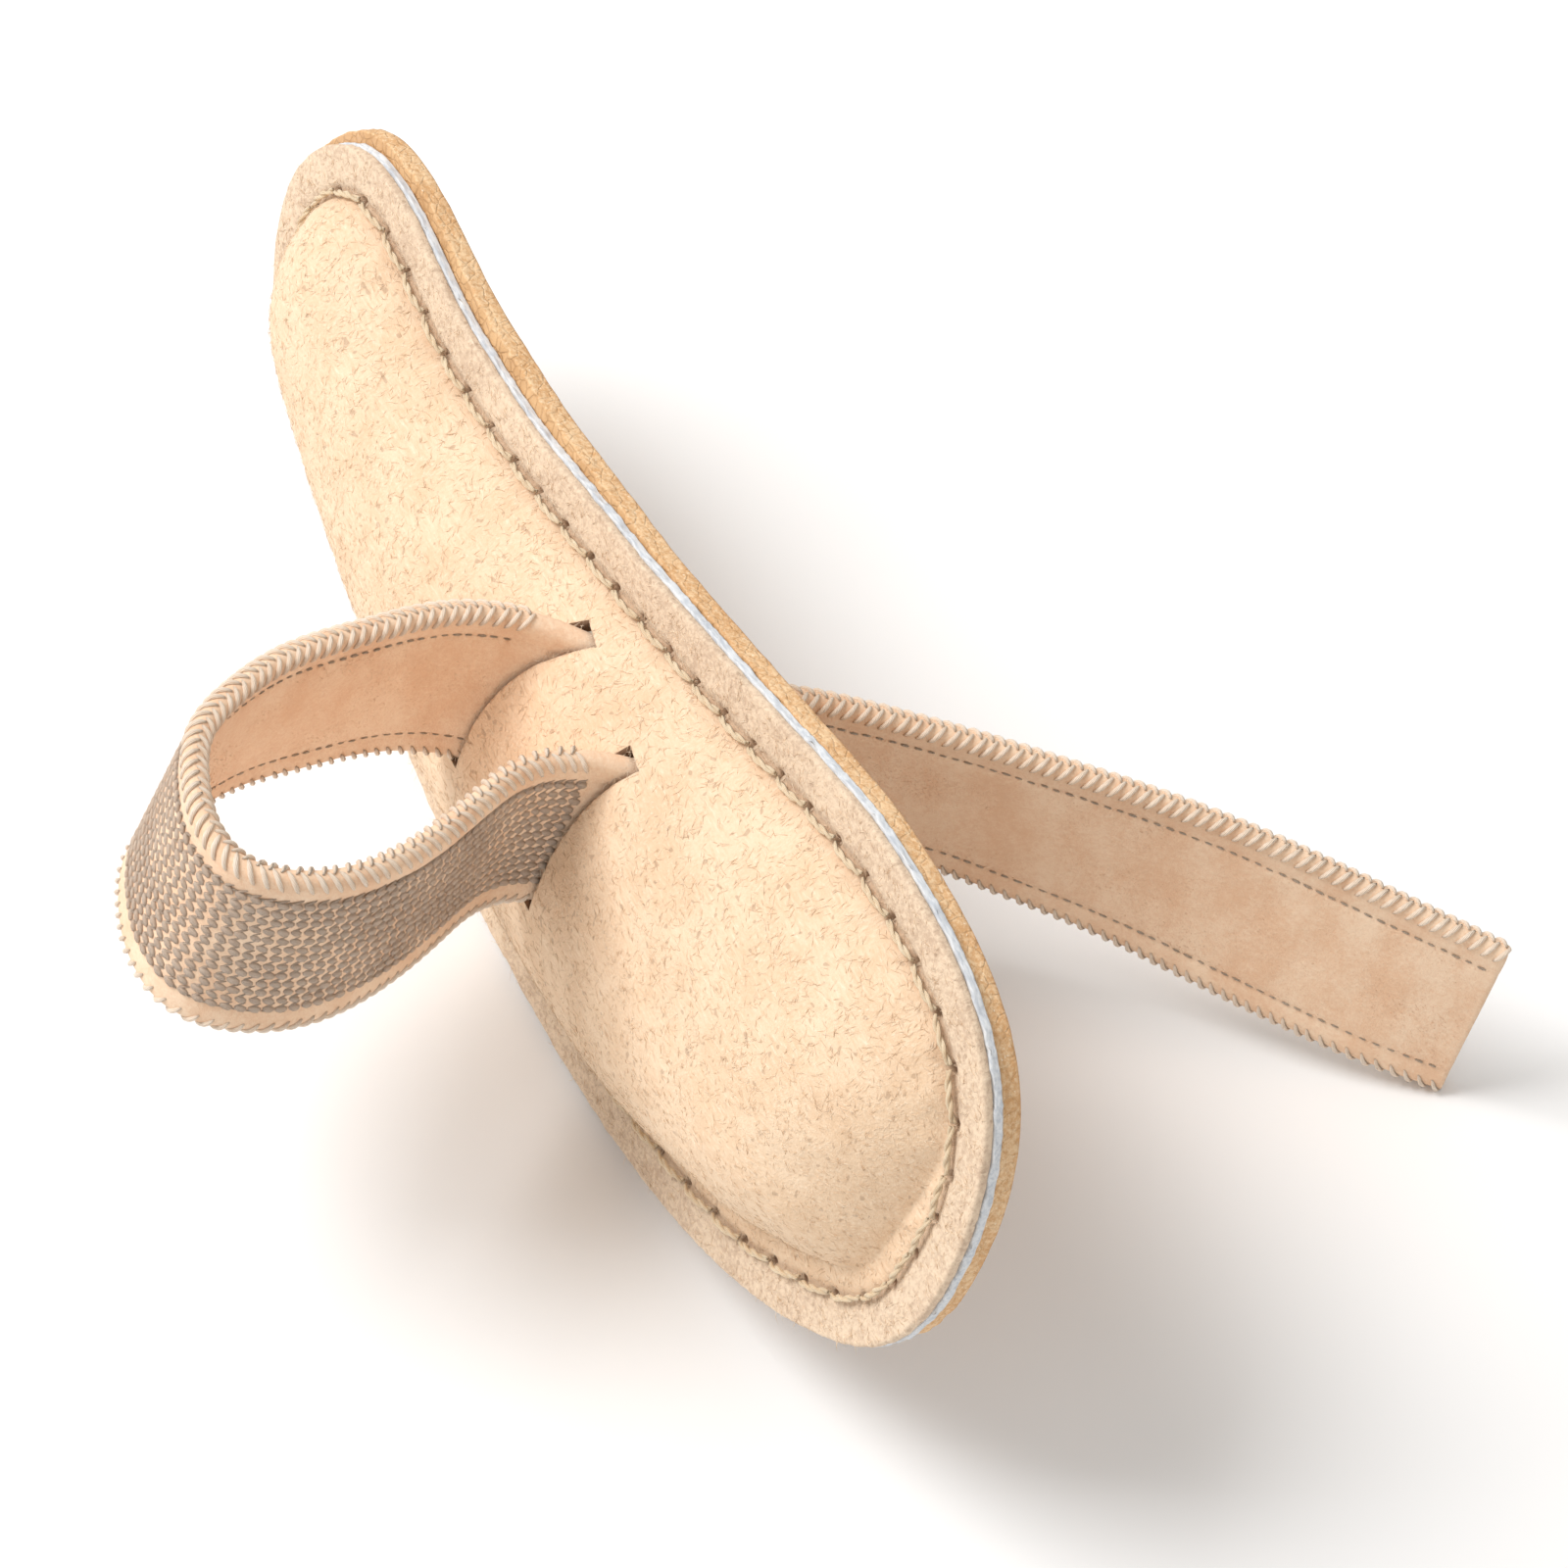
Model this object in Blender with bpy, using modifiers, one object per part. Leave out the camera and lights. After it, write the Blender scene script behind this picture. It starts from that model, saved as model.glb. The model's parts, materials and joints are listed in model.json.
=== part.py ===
# Hammer toe cushion: a kidney-shaped pad that lies under the toes, with an elastic loop for one toe.
# A suede face is domed over a soft core. A thin white layer and a leather base close it below, and all
# three layers meet in a flat rim. One elastic strap is anchored inside, stands out of the dome as the toe
# loop, passes back through the cushion and leaves the leather base as a free tail.
#
# The cushion is modelled lying flat: +X runs along it to its wide end, +Y across it, +Z out of the suede
# face, with zero height at the top of the rim. It then stands up on its lower long edge and leans back on
# the end of its tail, as it does when it is put down on a table. Metres and degrees, +Z up.

import math

import bmesh
import bpy
import numpy as np
from mathutils import Matrix

# Driving dimensions
PAD_LENGTH = 0.0880
PAD_WIDTH = 0.0370
RIM_WIDTH = 0.0029
DOME_HEIGHT = 0.0064
SUEDE_THICKNESS = 0.0010
INTERLAYER_THICKNESS = 0.00035
LEATHER_THICKNESS = 0.0010
GLUE_GAP = 0.00015
EDGE_ROUNDING = 0.0003
LEATHER_OVERHANG = 0.0010

STRAP_WIDTH = 0.0127
STRAP_THICKNESS = 0.0015
STRAP_ROUNDING = 0.0005
STRAP_CLEARANCE = 0.0003
STRAP_ACROSS = -0.0014
SLIT_SPACING = 0.0108
SLITS_ALONG = -0.0008
LOOP_HEIGHT = 0.0253
ANCHOR_REACH = 0.0085
BACK_SLIT_REACH = 0.0065
TAIL_LENGTH = 0.0520
TAIL_SLANT = 0.0010

# How finely the shapes are divided
OUTLINE_POINTS = 120
SPINE_STATIONS = 26
FAN_RAYS = 9
STRAP_STEP = 0.0015
CURVE_SAMPLES = 24
COVER_EDGE_SEGMENTS = 2
STRAP_EDGE_SEGMENTS = 3

# How many steps of the strap's path a channel runs on past the piece that it is cut from
CHANNEL_MARGIN = 3

# Edges sharper than the first angle are rounded, and those sharper than the second are shaded sharp
ROUNDED_ANGLE = 75.0
SHARP_ANGLE = 40.0

# The cushion's lean lies below the first number of degrees, and is found by halving that so many times
STEEPEST_LEAN = 60.0
LEAN_HALVINGS = 40

# Points closer than this are one point
MERGE_DISTANCE = 1e-6

# The rim's outline, round from the wide end's tip: shares of PAD_LENGTH along and of PAD_WIDTH across,
# and the share of LEATHER_OVERHANG by which the leather stands out past the suede, or stays behind it
OUTLINE = np.array([
    # along, across, overhang
    (0.466, 0.000, -0.3),
    (0.452, 0.230, -0.3),
    (0.403, 0.376, -0.3),
    (0.330, 0.432, -0.3),
    (0.239, 0.430, -0.2),
    (0.102, 0.351, 0.1),
    (-0.045, 0.265, 0.2),
    (-0.182, 0.197, 0.7),
    (-0.318, 0.169, 0.9),
    (-0.426, 0.189, 0.7),
    (-0.486, 0.146, 0.8),
    (-0.520, 0.059, 0.5),
    (-0.533, -0.068, 0.2),
    (-0.508, -0.228, 0.1),
    (-0.438, -0.356, 0.0),
    (-0.307, -0.459, 0.0),
    (-0.159, -0.541, 0.0),
    (-0.011, -0.568, 0.0),
    (0.148, -0.545, 0.0),
    (0.286, -0.463, 0.0),
    (0.397, -0.314, -0.1),
    (0.455, -0.152, -0.2),
])

# The crest line of the dome, from the narrow end to the wide one: shares of PAD_LENGTH along and of
# PAD_WIDTH across, and the share of DOME_HEIGHT that the crest reaches
CREST = np.array([
    # along, across, height
    (-0.398, -0.103, 0.74),
    (-0.227, -0.162, 0.86),
    (0.000, -0.138, 0.93),
    (0.159, -0.076, 1.00),
    (0.278, -0.019, 0.98),
])

# Rings of the dome, from the stitch line in to the crest: shares of the way out from the crest
DOME_RINGS = (1.0, 0.95, 0.88, 0.79, 0.68, 0.54, 0.38, 0.20, 0.0)
DOME_POWER = 2.4
FLANK_POWER = 0.8

# The strap's centre line, from its anchored end to the end of its tail, in four stretches.
# Inside, from the anchored end up to the second slit: share of ANCHOR_REACH past the slit, and share of
# the way down from the slit to the bottom of the core
ANCHORED_END = (
    # along, depth
    (1.00, 1.00),
    (0.72, 0.985),
    (0.44, 0.86),
    (0.20, 0.57),
    (0.06, 0.24),
)

# The toe loop, from the second slit round to the first: shares of SLIT_SPACING from halfway between
# the slits and of LOOP_HEIGHT above them, and its twist in degrees, which widens the loop at its lower edge
TOE_LOOP = (
    # along, height, twist
    (0.500, 0.000, 0.0),
    (0.481, 0.103, -1.0),
    (0.532, 0.190, -2.0),
    (0.648, 0.287, -2.7),
    (0.787, 0.395, -2.7),
    (0.954, 0.557, -2.7),
    (1.037, 0.719, -2.7),
    (0.986, 0.878, -2.7),
    (0.843, 0.968, -2.7),
    (0.546, 1.000, -2.7),
    (0.250, 0.972, -2.7),
    (-0.019, 0.915, -2.7),
    (-0.282, 0.777, -2.7),
    (-0.472, 0.597, -2.7),
    (-0.565, 0.374, -2.0),
    (-0.602, 0.186, -1.0),
    (-0.500, 0.000, 0.0),
)

# Through the cushion, from the first slit to the slit in the base: shares of BACK_SLIT_REACH and of the
# way down from the first slit to the underside
THROUGH = (
    # along, depth
    (0.22, 0.28),
    (0.60, 0.62),
    (1.00, 1.00),
)

# The tail: shares of TAIL_LENGTH along and below the slit in the base, and its twist in degrees
TAIL = (
    # along, below, twist
    (0.032, 0.117, -2.0),
    (0.072, 0.222, -5.0),
    (0.125, 0.326, -7.0),
    (0.187, 0.418, -5.0),
    (0.253, 0.508, -2.0),
    (0.326, 0.592, 2.0),
    (0.407, 0.677, 4.0),
    (0.486, 0.762, 3.0),
    (0.539, 0.826, 0.0),
)

# Heights of the layers, down from the top of the rim
SUEDE_BOTTOM = -SUEDE_THICKNESS
INTERLAYER_TOP = SUEDE_BOTTOM - GLUE_GAP
INTERLAYER_BOTTOM = INTERLAYER_TOP - INTERLAYER_THICKNESS
LEATHER_TOP = INTERLAYER_BOTTOM - GLUE_GAP
UNDERSIDE = LEATHER_TOP - LEATHER_THICKNESS


def smooth_curve(rows, spacing, closed=False, columns=2):
    """Rows at even distances along a cubic curve through the given rows, whose bend has no jumps.

    The first columns are the place, and any further ones are carried along.
    """
    knots = np.vstack([rows, rows[:1]]) if closed else np.asarray(rows, dtype=float)
    gaps = np.linalg.norm(np.diff(knots[:, :columns], axis=0), axis=1)
    slopes = np.diff(knots, axis=0) / gaps[:, None]
    count = len(gaps) if closed else len(gaps) + 1
    system = np.zeros((count, count))
    wanted = np.zeros((count, knots.shape[1]))
    for i in range(count):
        if not closed and i in (0, count - 1):
            inner = 1 if i == 0 else count - 2
            system[i, i] = 2.0
            system[i, inner] = 1.0
            wanted[i] = 3.0 * slopes[min(i, count - 2)]
            continue
        before = gaps[i - 1]
        after = gaps[i]
        system[i, i - 1] = after
        system[i, i] = 2.0 * (before + after)
        system[i, (i + 1) % count] = before
        wanted[i] = 3.0 * (after * slopes[i - 1] + before * slopes[i])
    tangents = np.linalg.solve(system, wanted)
    if closed:
        tangents = np.vstack([tangents, tangents[:1]])
    t = np.linspace(0.0, 1.0, CURVE_SAMPLES, endpoint=False)[:, None]
    pieces = []
    for i, gap in enumerate(gaps):
        pieces.append(
            (2 * t**3 - 3 * t**2 + 1) * knots[i]
            + (t**3 - 2 * t**2 + t) * gap * tangents[i]
            + (3 * t**2 - 2 * t**3) * knots[i + 1]
            + (t**3 - t**2) * gap * tangents[i + 1]
        )
    fine = np.vstack(pieces + [knots[-1:]])
    run = np.concatenate([[0.0], np.cumsum(np.linalg.norm(np.diff(fine[:, :columns], axis=0), axis=1))])
    steps = max(3, round(run[-1] / spacing))
    places = np.linspace(0.0, run[-1], steps + 1)
    even = np.column_stack([np.interp(places, run, column) for column in fine.T])
    return even[:-1] if closed else even


def scaled(rows, *sizes):
    """A table's rows with each column in turn multiplied by its size."""
    return np.asarray(rows, dtype=float) * np.array(sizes)


def rim_outline(overhang=0.0):
    """The rim's outline in plan, or the outline that far outside it where the table's share is 1."""
    rows = scaled(OUTLINE, PAD_LENGTH, PAD_WIDTH, overhang)
    rough = np.linalg.norm(np.diff(rows[:, :2], axis=0, append=rows[:1, :2]), axis=1).sum()
    loop = smooth_curve(rows, rough / OUTLINE_POINTS, closed=True)
    along = np.roll(loop[:, :2], -1, axis=0) - np.roll(loop[:, :2], 1, axis=0)
    outward = np.column_stack([along[:, 1], -along[:, 0]]) / np.linalg.norm(along, axis=1)[:, None]
    return loop[:, :2] + outward * loop[:, 2:]


def crest_line():
    """Stations on the dome's crest line: along, across and the height of the crest."""
    rows = scaled(CREST, PAD_LENGTH, PAD_WIDTH, DOME_HEIGHT)
    span = np.linalg.norm(np.diff(rows[:, :2], axis=0), axis=1).sum()
    return smooth_curve(rows, span / (SPINE_STATIONS - 1))


def reach_to(loop, start, direction):
    """The distance from a point inside a closed outline to the outline, in one direction."""
    edge = np.roll(loop, -1, axis=0) - loop
    offset = loop - start
    turn = direction[0] * edge[:, 1] - direction[1] * edge[:, 0]
    turn = np.where(np.abs(turn) < 1e-15, 1e-15, turn)
    distance = (offset[:, 0] * edge[:, 1] - offset[:, 1] * edge[:, 0]) / turn
    share = (offset[:, 0] * direction[1] - offset[:, 1] * direction[0]) / turn
    met = (share >= 0.0) & (share <= 1.0) & (distance > 0.0)
    return distance[met].min()


def rays():
    """Rays that go out from the crest line all round it, square to it along its sides and fanned at its
    ends: their feet, their directions, the crest's height at each foot and the distance to the outline."""
    crest = crest_line()
    along = np.gradient(crest[:, :2], axis=0)
    heading = np.arctan2(along[:, 1], along[:, 0])
    last = len(crest) - 1
    fan = np.linspace(0.0, math.pi, FAN_RAYS + 2)[1:-1]
    feet = list(range(last + 1)) + [last] * FAN_RAYS + list(range(last, -1, -1)) + [0] * FAN_RAYS
    angles = np.concatenate([
        heading + math.pi / 2,
        heading[last] + math.pi / 2 - fan,
        heading[::-1] - math.pi / 2,
        heading[0] - math.pi / 2 - fan,
    ])
    directions = np.column_stack([np.cos(angles), np.sin(angles)])
    outline = rim_outline()
    starts = crest[feet, :2]
    reach = np.array([reach_to(outline, start, way) for start, way in zip(starts, directions)])
    return starts, directions, crest[feet, 2], reach


def dome_share(out):
    """The dome's height over its crest's height, at a share of the way out from the crest to the stitches."""
    return (1.0 - out**DOME_POWER) ** FLANK_POWER


def dome_rings():
    """Rings of points on the suede face, from the edge of the rim to the crest, as rings x rays x 3."""
    starts, directions, crest, reach = rays()
    rings = [np.column_stack([starts + directions * reach[:, None], np.zeros(len(reach))])]
    for out in DOME_RINGS:
        place = starts + directions * (out * (reach - RIM_WIDTH))[:, None]
        rings.append(np.column_stack([place, crest * dome_share(out)]))
    return np.array(rings)


def dome_height(along, across):
    """The height of the suede face above the rim at a place inside the stitches."""
    crest = crest_line()
    offset = np.array([along, across]) - crest[:, :2]
    nearest = np.argmin(np.linalg.norm(offset, axis=1))
    distance = np.linalg.norm(offset[nearest])
    direction = offset[nearest] / max(distance, 1e-9)
    reach = reach_to(rim_outline(), crest[nearest, :2], direction) - RIM_WIDTH
    return crest[nearest, 2] * dome_share(min(distance / reach, 1.0))


def ring_normals(rings):
    """Unit normals of the suede face at its rings, pointing out."""
    around = np.roll(rings, -1, axis=1) - np.roll(rings, 1, axis=1)
    inward = np.gradient(rings, axis=0)
    normals = np.cross(around, inward)
    size = np.linalg.norm(normals, axis=2, keepdims=True)
    up = np.broadcast_to([0.0, 0.0, 1.0], normals.shape)
    normals = np.where(size > 1e-12, normals / np.maximum(size, 1e-12), up)
    return normals * np.sign(normals[..., 2:])


def strap_path():
    """Rows along the strap's centre line: along, height and twist, with the row numbers of its slits."""
    first = SLITS_ALONG - SLIT_SPACING / 2
    second = SLITS_ALONG + SLIT_SPACING / 2
    first_level = dome_height(first, STRAP_ACROSS)
    second_level = dome_height(second, STRAP_ACROSS)
    floor = INTERLAYER_TOP + STRAP_CLEARANCE + STRAP_THICKNESS / 2
    rows = [
        (second + along * ANCHOR_REACH, second_level + depth * (floor - second_level), 0.0)
        for along, depth in ANCHORED_END
    ]
    rise = np.linspace(second_level - first_level, 0.0, len(TOE_LOOP))
    rows += [
        (SLITS_ALONG + along * SLIT_SPACING, first_level + step + height * LOOP_HEIGHT, twist)
        for (along, height, twist), step in zip(TOE_LOOP, rise)
    ]
    rows += [
        (first + along * BACK_SLIT_REACH, first_level + depth * (UNDERSIDE - first_level), 0.0)
        for along, depth in THROUGH
    ]
    back = first + BACK_SLIT_REACH
    rows += [
        (back + along * TAIL_LENGTH, UNDERSIDE - below * TAIL_LENGTH, twist)
        for along, below, twist in TAIL
    ]
    path = smooth_curve(np.array(rows), STRAP_STEP)
    slits = [
        int(np.argmin(np.hypot(path[:, 0] - along, path[:, 1] - level)))
        for along, level in ((second, second_level), (first, first_level), (back, UNDERSIDE))
    ]
    return path, slits


def mesh_object(name, points, faces, collection):
    """A new object from points and faces, with doubled points merged."""
    mesh = bpy.data.meshes.new(name)
    mesh.from_pydata([tuple(p) for p in points], [], faces)
    shell = bmesh.new()
    shell.from_mesh(mesh)
    bmesh.ops.remove_doubles(shell, verts=shell.verts, dist=MERGE_DISTANCE)
    bmesh.ops.dissolve_degenerate(shell, edges=shell.edges, dist=MERGE_DISTANCE)
    bmesh.ops.recalc_face_normals(shell, faces=shell.faces)
    shell.to_mesh(mesh)
    shell.free()
    thing = bpy.data.objects.new(name, mesh)
    collection.objects.link(thing)
    return thing


def loft(rings):
    """The points of closed rings, and the faces between each ring and the next."""
    count, around = len(rings), len(rings[0])
    faces = []
    for i in range(count - 1):
        for j in range(around):
            k = (j + 1) % around
            faces.append((i * around + j, i * around + k, (i + 1) * around + k, (i + 1) * around + j))
    return np.vstack(rings), faces


def thicken(thing, thickness, offset, rounding, segments):
    """Give a surface a wall with rounded edges."""
    wall = thing.modifiers.new("wall", "SOLIDIFY")
    wall.thickness = thickness
    wall.offset = offset
    wall.use_even_offset = True
    edge = thing.modifiers.new("rounded_edge", "BEVEL")
    edge.limit_method = "ANGLE"
    edge.angle_limit = math.radians(ROUNDED_ANGLE)
    edge.width = rounding
    edge.segments = segments


def cut(thing, cutter):
    """Take a cutter out of an object."""
    slit = thing.modifiers.new(cutter.name, "BOOLEAN")
    slit.operation = "DIFFERENCE"
    slit.object = cutter
    slit.solver = "EXACT"


def finish_with(thing, color, roughness):
    """Give an object a plain material of its own, and shade its smooth faces smooth."""
    material = bpy.data.materials.new(thing.name)
    material.use_nodes = True
    shader = material.node_tree.nodes["Principled BSDF"]
    shader.inputs["Base Color"].default_value = (*color, 1.0)
    shader.inputs["Roughness"].default_value = roughness
    shader.inputs["Metallic"].default_value = 0.0
    material.diffuse_color = (*color, 1.0)
    thing.data.materials.clear()
    thing.data.materials.append(material)
    thing.data.shade_smooth()
    thing.data.set_sharp_from_angle(angle=math.radians(SHARP_ANGLE))


def ribbon(name, path, width, thickness, rounding, slant, collection):
    """The strap, or a stretch of it, as a flat band that follows the path and twists about it."""
    along = np.gradient(path[:, :2], axis=0)
    along /= np.linalg.norm(along, axis=1)[:, None]
    forward = np.column_stack([along[:, 0], np.zeros(len(path)), along[:, 1]])
    flat = np.array([0.0, 1.0, 0.0])
    plush = np.cross(forward, flat)
    twist = np.radians(path[:, 2:])
    across = np.cos(twist) * flat - np.sin(twist) * plush
    centre = np.column_stack([path[:, 0], np.full(len(path), STRAP_ACROSS), path[:, 1]])
    upper = centre + across * width / 2
    lower = centre - across * width / 2
    lower[-1] += forward[-1] * slant
    count = len(path)
    faces = [(i, i + 1, count + i + 1, count + i) for i in range(count - 1)]
    band = mesh_object(name, np.vstack([upper, lower]), faces, collection)
    thicken(band, thickness, 0.0, rounding, STRAP_EDGE_SEGMENTS)
    return band


def flat_layer(name, outline, top, thickness, collection):
    """A flat sheet with the given outline: a filled curve, extruded half its thickness each way."""
    curve = bpy.data.curves.new(name, "CURVE")
    curve.dimensions = "2D"
    curve.fill_mode = "BOTH"
    curve.extrude = thickness / 2
    spline = curve.splines.new("POLY")
    spline.points.add(len(outline) - 1)
    for point, (along, across) in zip(spline.points, outline):
        point.co = (along, across, 0.0, 1.0)
    spline.use_cyclic_u = True
    drawn = bpy.data.objects.new(name + "_outline", curve)
    drawn.location.z = top - thickness / 2
    collection.objects.link(drawn)
    bpy.context.view_layer.update()
    mesh = bpy.data.meshes.new_from_object(drawn.evaluated_get(bpy.context.evaluated_depsgraph_get()))
    sheet = bmesh.new()
    sheet.from_mesh(mesh)
    bmesh.ops.remove_doubles(sheet, verts=sheet.verts, dist=MERGE_DISTANCE)
    bmesh.ops.recalc_face_normals(sheet, faces=sheet.faces)
    sheet.to_mesh(mesh)
    sheet.free()
    mesh.transform(drawn.matrix_world)
    thing = bpy.data.objects.new(name, mesh)
    collection.objects.link(thing)
    bpy.data.objects.remove(drawn)
    return thing


def suede_cover(collection):
    """The suede face: a domed sheet with a flat rim."""
    points, faces = loft(dome_rings())
    cover = mesh_object("suede_cover", points, faces, collection)
    if cover.data.polygons[0].normal.z < 0.0:
        cover.data.flip_normals()
    thicken(cover, SUEDE_THICKNESS, -1.0, EDGE_ROUNDING, COVER_EDGE_SEGMENTS)
    finish_with(cover, (0.86, 0.66, 0.46), 0.95)
    return cover


def soft_core(collection):
    """The padding: it fills the dome from the layers below up to the inside of the suede."""
    rings = dome_rings()
    inside = rings - ring_normals(rings) * (SUEDE_THICKNESS + GLUE_GAP)
    floor = SUEDE_BOTTOM
    kept = [ring for ring in inside[2:] if ring[:, 2].min() > floor + GLUE_GAP]
    foot = kept[0].copy()
    foot[:, 2] = floor
    starts, _, crest, _ = rays()
    middle = np.column_stack([starts, np.full(len(starts), floor)])
    top = np.column_stack([starts, crest - SUEDE_THICKNESS - GLUE_GAP])
    points, faces = loft([middle, foot] + kept[:-1] + [top])
    core = mesh_object("soft_core", points, faces, collection)
    finish_with(core, (0.84, 0.78, 0.66), 0.95)
    return core


def edge_interlayer(collection):
    """The thin white layer between the suede and the leather."""
    layer = flat_layer("edge_interlayer", rim_outline(), INTERLAYER_TOP, INTERLAYER_THICKNESS, collection)
    finish_with(layer, (0.80, 0.81, 0.82), 0.6)
    return layer


def leather_base(collection):
    """The tan leather back, which stands out a little past the suede."""
    outline = rim_outline(LEATHER_OVERHANG)
    base = flat_layer("leather_base", outline, LEATHER_TOP, LEATHER_THICKNESS, collection)
    finish_with(base, (0.72, 0.47, 0.25), 0.7)
    return base


def strap_and_channels(collection, cutters):
    """The elastic strap, and the channels that the other pieces leave for it where it passes through."""
    path, (second, first, back) = strap_path()
    strap = ribbon(
        "elastic_strap", path, STRAP_WIDTH, STRAP_THICKNESS, STRAP_ROUNDING, TAIL_SLANT, collection
    )
    finish_with(strap, (0.91, 0.72, 0.56), 0.9)
    width = STRAP_WIDTH + 2 * STRAP_CLEARANCE
    thickness = STRAP_THICKNESS + 2 * STRAP_CLEARANCE
    through = path[first - CHANNEL_MARGIN:back + CHANNEL_MARGIN + 1]
    anchored = path[:second + CHANNEL_MARGIN + 1].copy()
    anchored[0, 0] += STRAP_CLEARANCE
    channels = []
    for name, stretch in (("through_channel", through), ("anchor_channel", anchored)):
        channel = ribbon(name, stretch, width, thickness, STRAP_ROUNDING, 0.0, cutters)
        channel.hide_render = True
        channel.display_type = "WIRE"
        channels.append(channel)
    return strap, channels


def evaluated_points(thing):
    """The points of an object as its modifiers leave them, in its own frame."""
    mesh = thing.evaluated_get(bpy.context.evaluated_depsgraph_get()).to_mesh()
    points = np.empty(len(mesh.vertices) * 3)
    mesh.vertices.foreach_get("co", points)
    return points.reshape(-1, 3)


def standing(lean):
    """The turn from lying flat to standing on the lower long edge, leaning back by an angle in degrees."""
    return Matrix.Rotation(math.radians(90.0 - lean), 4, "X")


def stand_up(things, strap, stand):
    """Lean the cushion back until the end of its tail and its lower edge meet the ground together."""
    pad = np.vstack([evaluated_points(thing) for thing in things if thing is not strap])
    band = evaluated_points(strap)
    tail = band[band[:, 2] < UNDERSIDE - STRAP_WIDTH]
    least, most = 0.0, STEEPEST_LEAN
    for _ in range(LEAN_HALVINGS):
        lean = (least + most) / 2
        up = np.array(standing(lean))[2, :3]
        if (tail @ up).min() > (pad @ up).min():
            least = lean
        else:
            most = lean
    turn = np.array(standing(lean))[:3, :3]
    placed = np.vstack([pad, band]) @ turn.T
    low, high = placed.min(axis=0), placed.max(axis=0)
    stand.rotation_mode = "QUATERNION"
    stand.rotation_quaternion = standing(lean).to_quaternion()
    stand.location = (-(low[0] + high[0]) / 2, -(low[1] + high[1]) / 2, -low[2])


def build():
    """Make every piece lying flat, cut the strap's channels, then stand the cushion up."""
    for thing in list(bpy.data.objects):
        bpy.data.objects.remove(thing, do_unlink=True)
    pieces = bpy.data.collections.new("hammer_toe_cushion")
    cutters = bpy.data.collections.new("cutters")
    bpy.context.scene.collection.children.link(pieces)
    bpy.context.scene.collection.children.link(cutters)

    strap, channels = strap_and_channels(pieces, cutters)
    through_channel, anchor_channel = channels
    cover = suede_cover(pieces)
    core = soft_core(pieces)
    interlayer = edge_interlayer(pieces)
    base = leather_base(pieces)
    for piece in (cover, core, interlayer, base):
        cut(piece, through_channel)
    for piece in (cover, core):
        cut(piece, anchor_channel)

    stand = bpy.data.objects.new("stand", None)
    pieces.objects.link(stand)
    things = [cover, core, interlayer, base, strap]
    bpy.context.view_layer.update()
    stand_up(things, strap, stand)
    for thing in things + channels:
        thing.parent = stand
    bpy.context.view_layer.update()


build()
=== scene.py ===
import json

import bmesh
import bpy
import numpy as np
from mathutils import Matrix, Vector


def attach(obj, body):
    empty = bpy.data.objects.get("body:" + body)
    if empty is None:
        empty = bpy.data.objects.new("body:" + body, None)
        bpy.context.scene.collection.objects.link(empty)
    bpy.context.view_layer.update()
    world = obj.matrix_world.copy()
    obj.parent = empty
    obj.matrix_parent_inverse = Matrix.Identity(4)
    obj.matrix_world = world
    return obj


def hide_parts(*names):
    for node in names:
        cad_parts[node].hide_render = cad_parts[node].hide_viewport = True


# The looks of the hammer toe cushion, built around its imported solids.
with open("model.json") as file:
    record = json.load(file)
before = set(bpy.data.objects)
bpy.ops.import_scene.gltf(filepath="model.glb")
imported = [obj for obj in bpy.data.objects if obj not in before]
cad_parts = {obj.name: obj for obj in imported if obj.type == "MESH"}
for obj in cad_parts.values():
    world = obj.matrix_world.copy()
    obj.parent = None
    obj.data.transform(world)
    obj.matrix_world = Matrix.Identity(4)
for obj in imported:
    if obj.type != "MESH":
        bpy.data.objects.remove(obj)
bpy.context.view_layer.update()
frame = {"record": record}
print("frame loaded")

# Everything is worked out in millimetres with the cushion lying flat: x along it to the wide end, y across
# it and upwards as it stands, z out of the dome, and zero at the top of the rim. The mount on its back says
# where that frame stands in the world.
backFace = next(mount for mount in frame["record"]["mounts"] if mount["name"] == "back_face")
backSpot = np.array([-22.0, -5.0, -2.65])
alongWay = np.array([1.0, 0.0, 0.0])
outWay = -np.array(backFace["axis"])
outWay /= np.linalg.norm(outWay)
acrossWay = np.cross(outWay, alongWay)
padTurn = np.array([alongWay, acrossWay, outWay])
padPlace = np.array(backFace["pos_m"]) - backSpot @ padTurn / 1000


def toWorld(points):
    # millimetres of the flat cushion to metres of the world
    return padPlace + np.asarray(points) @ padTurn / 1000


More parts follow.
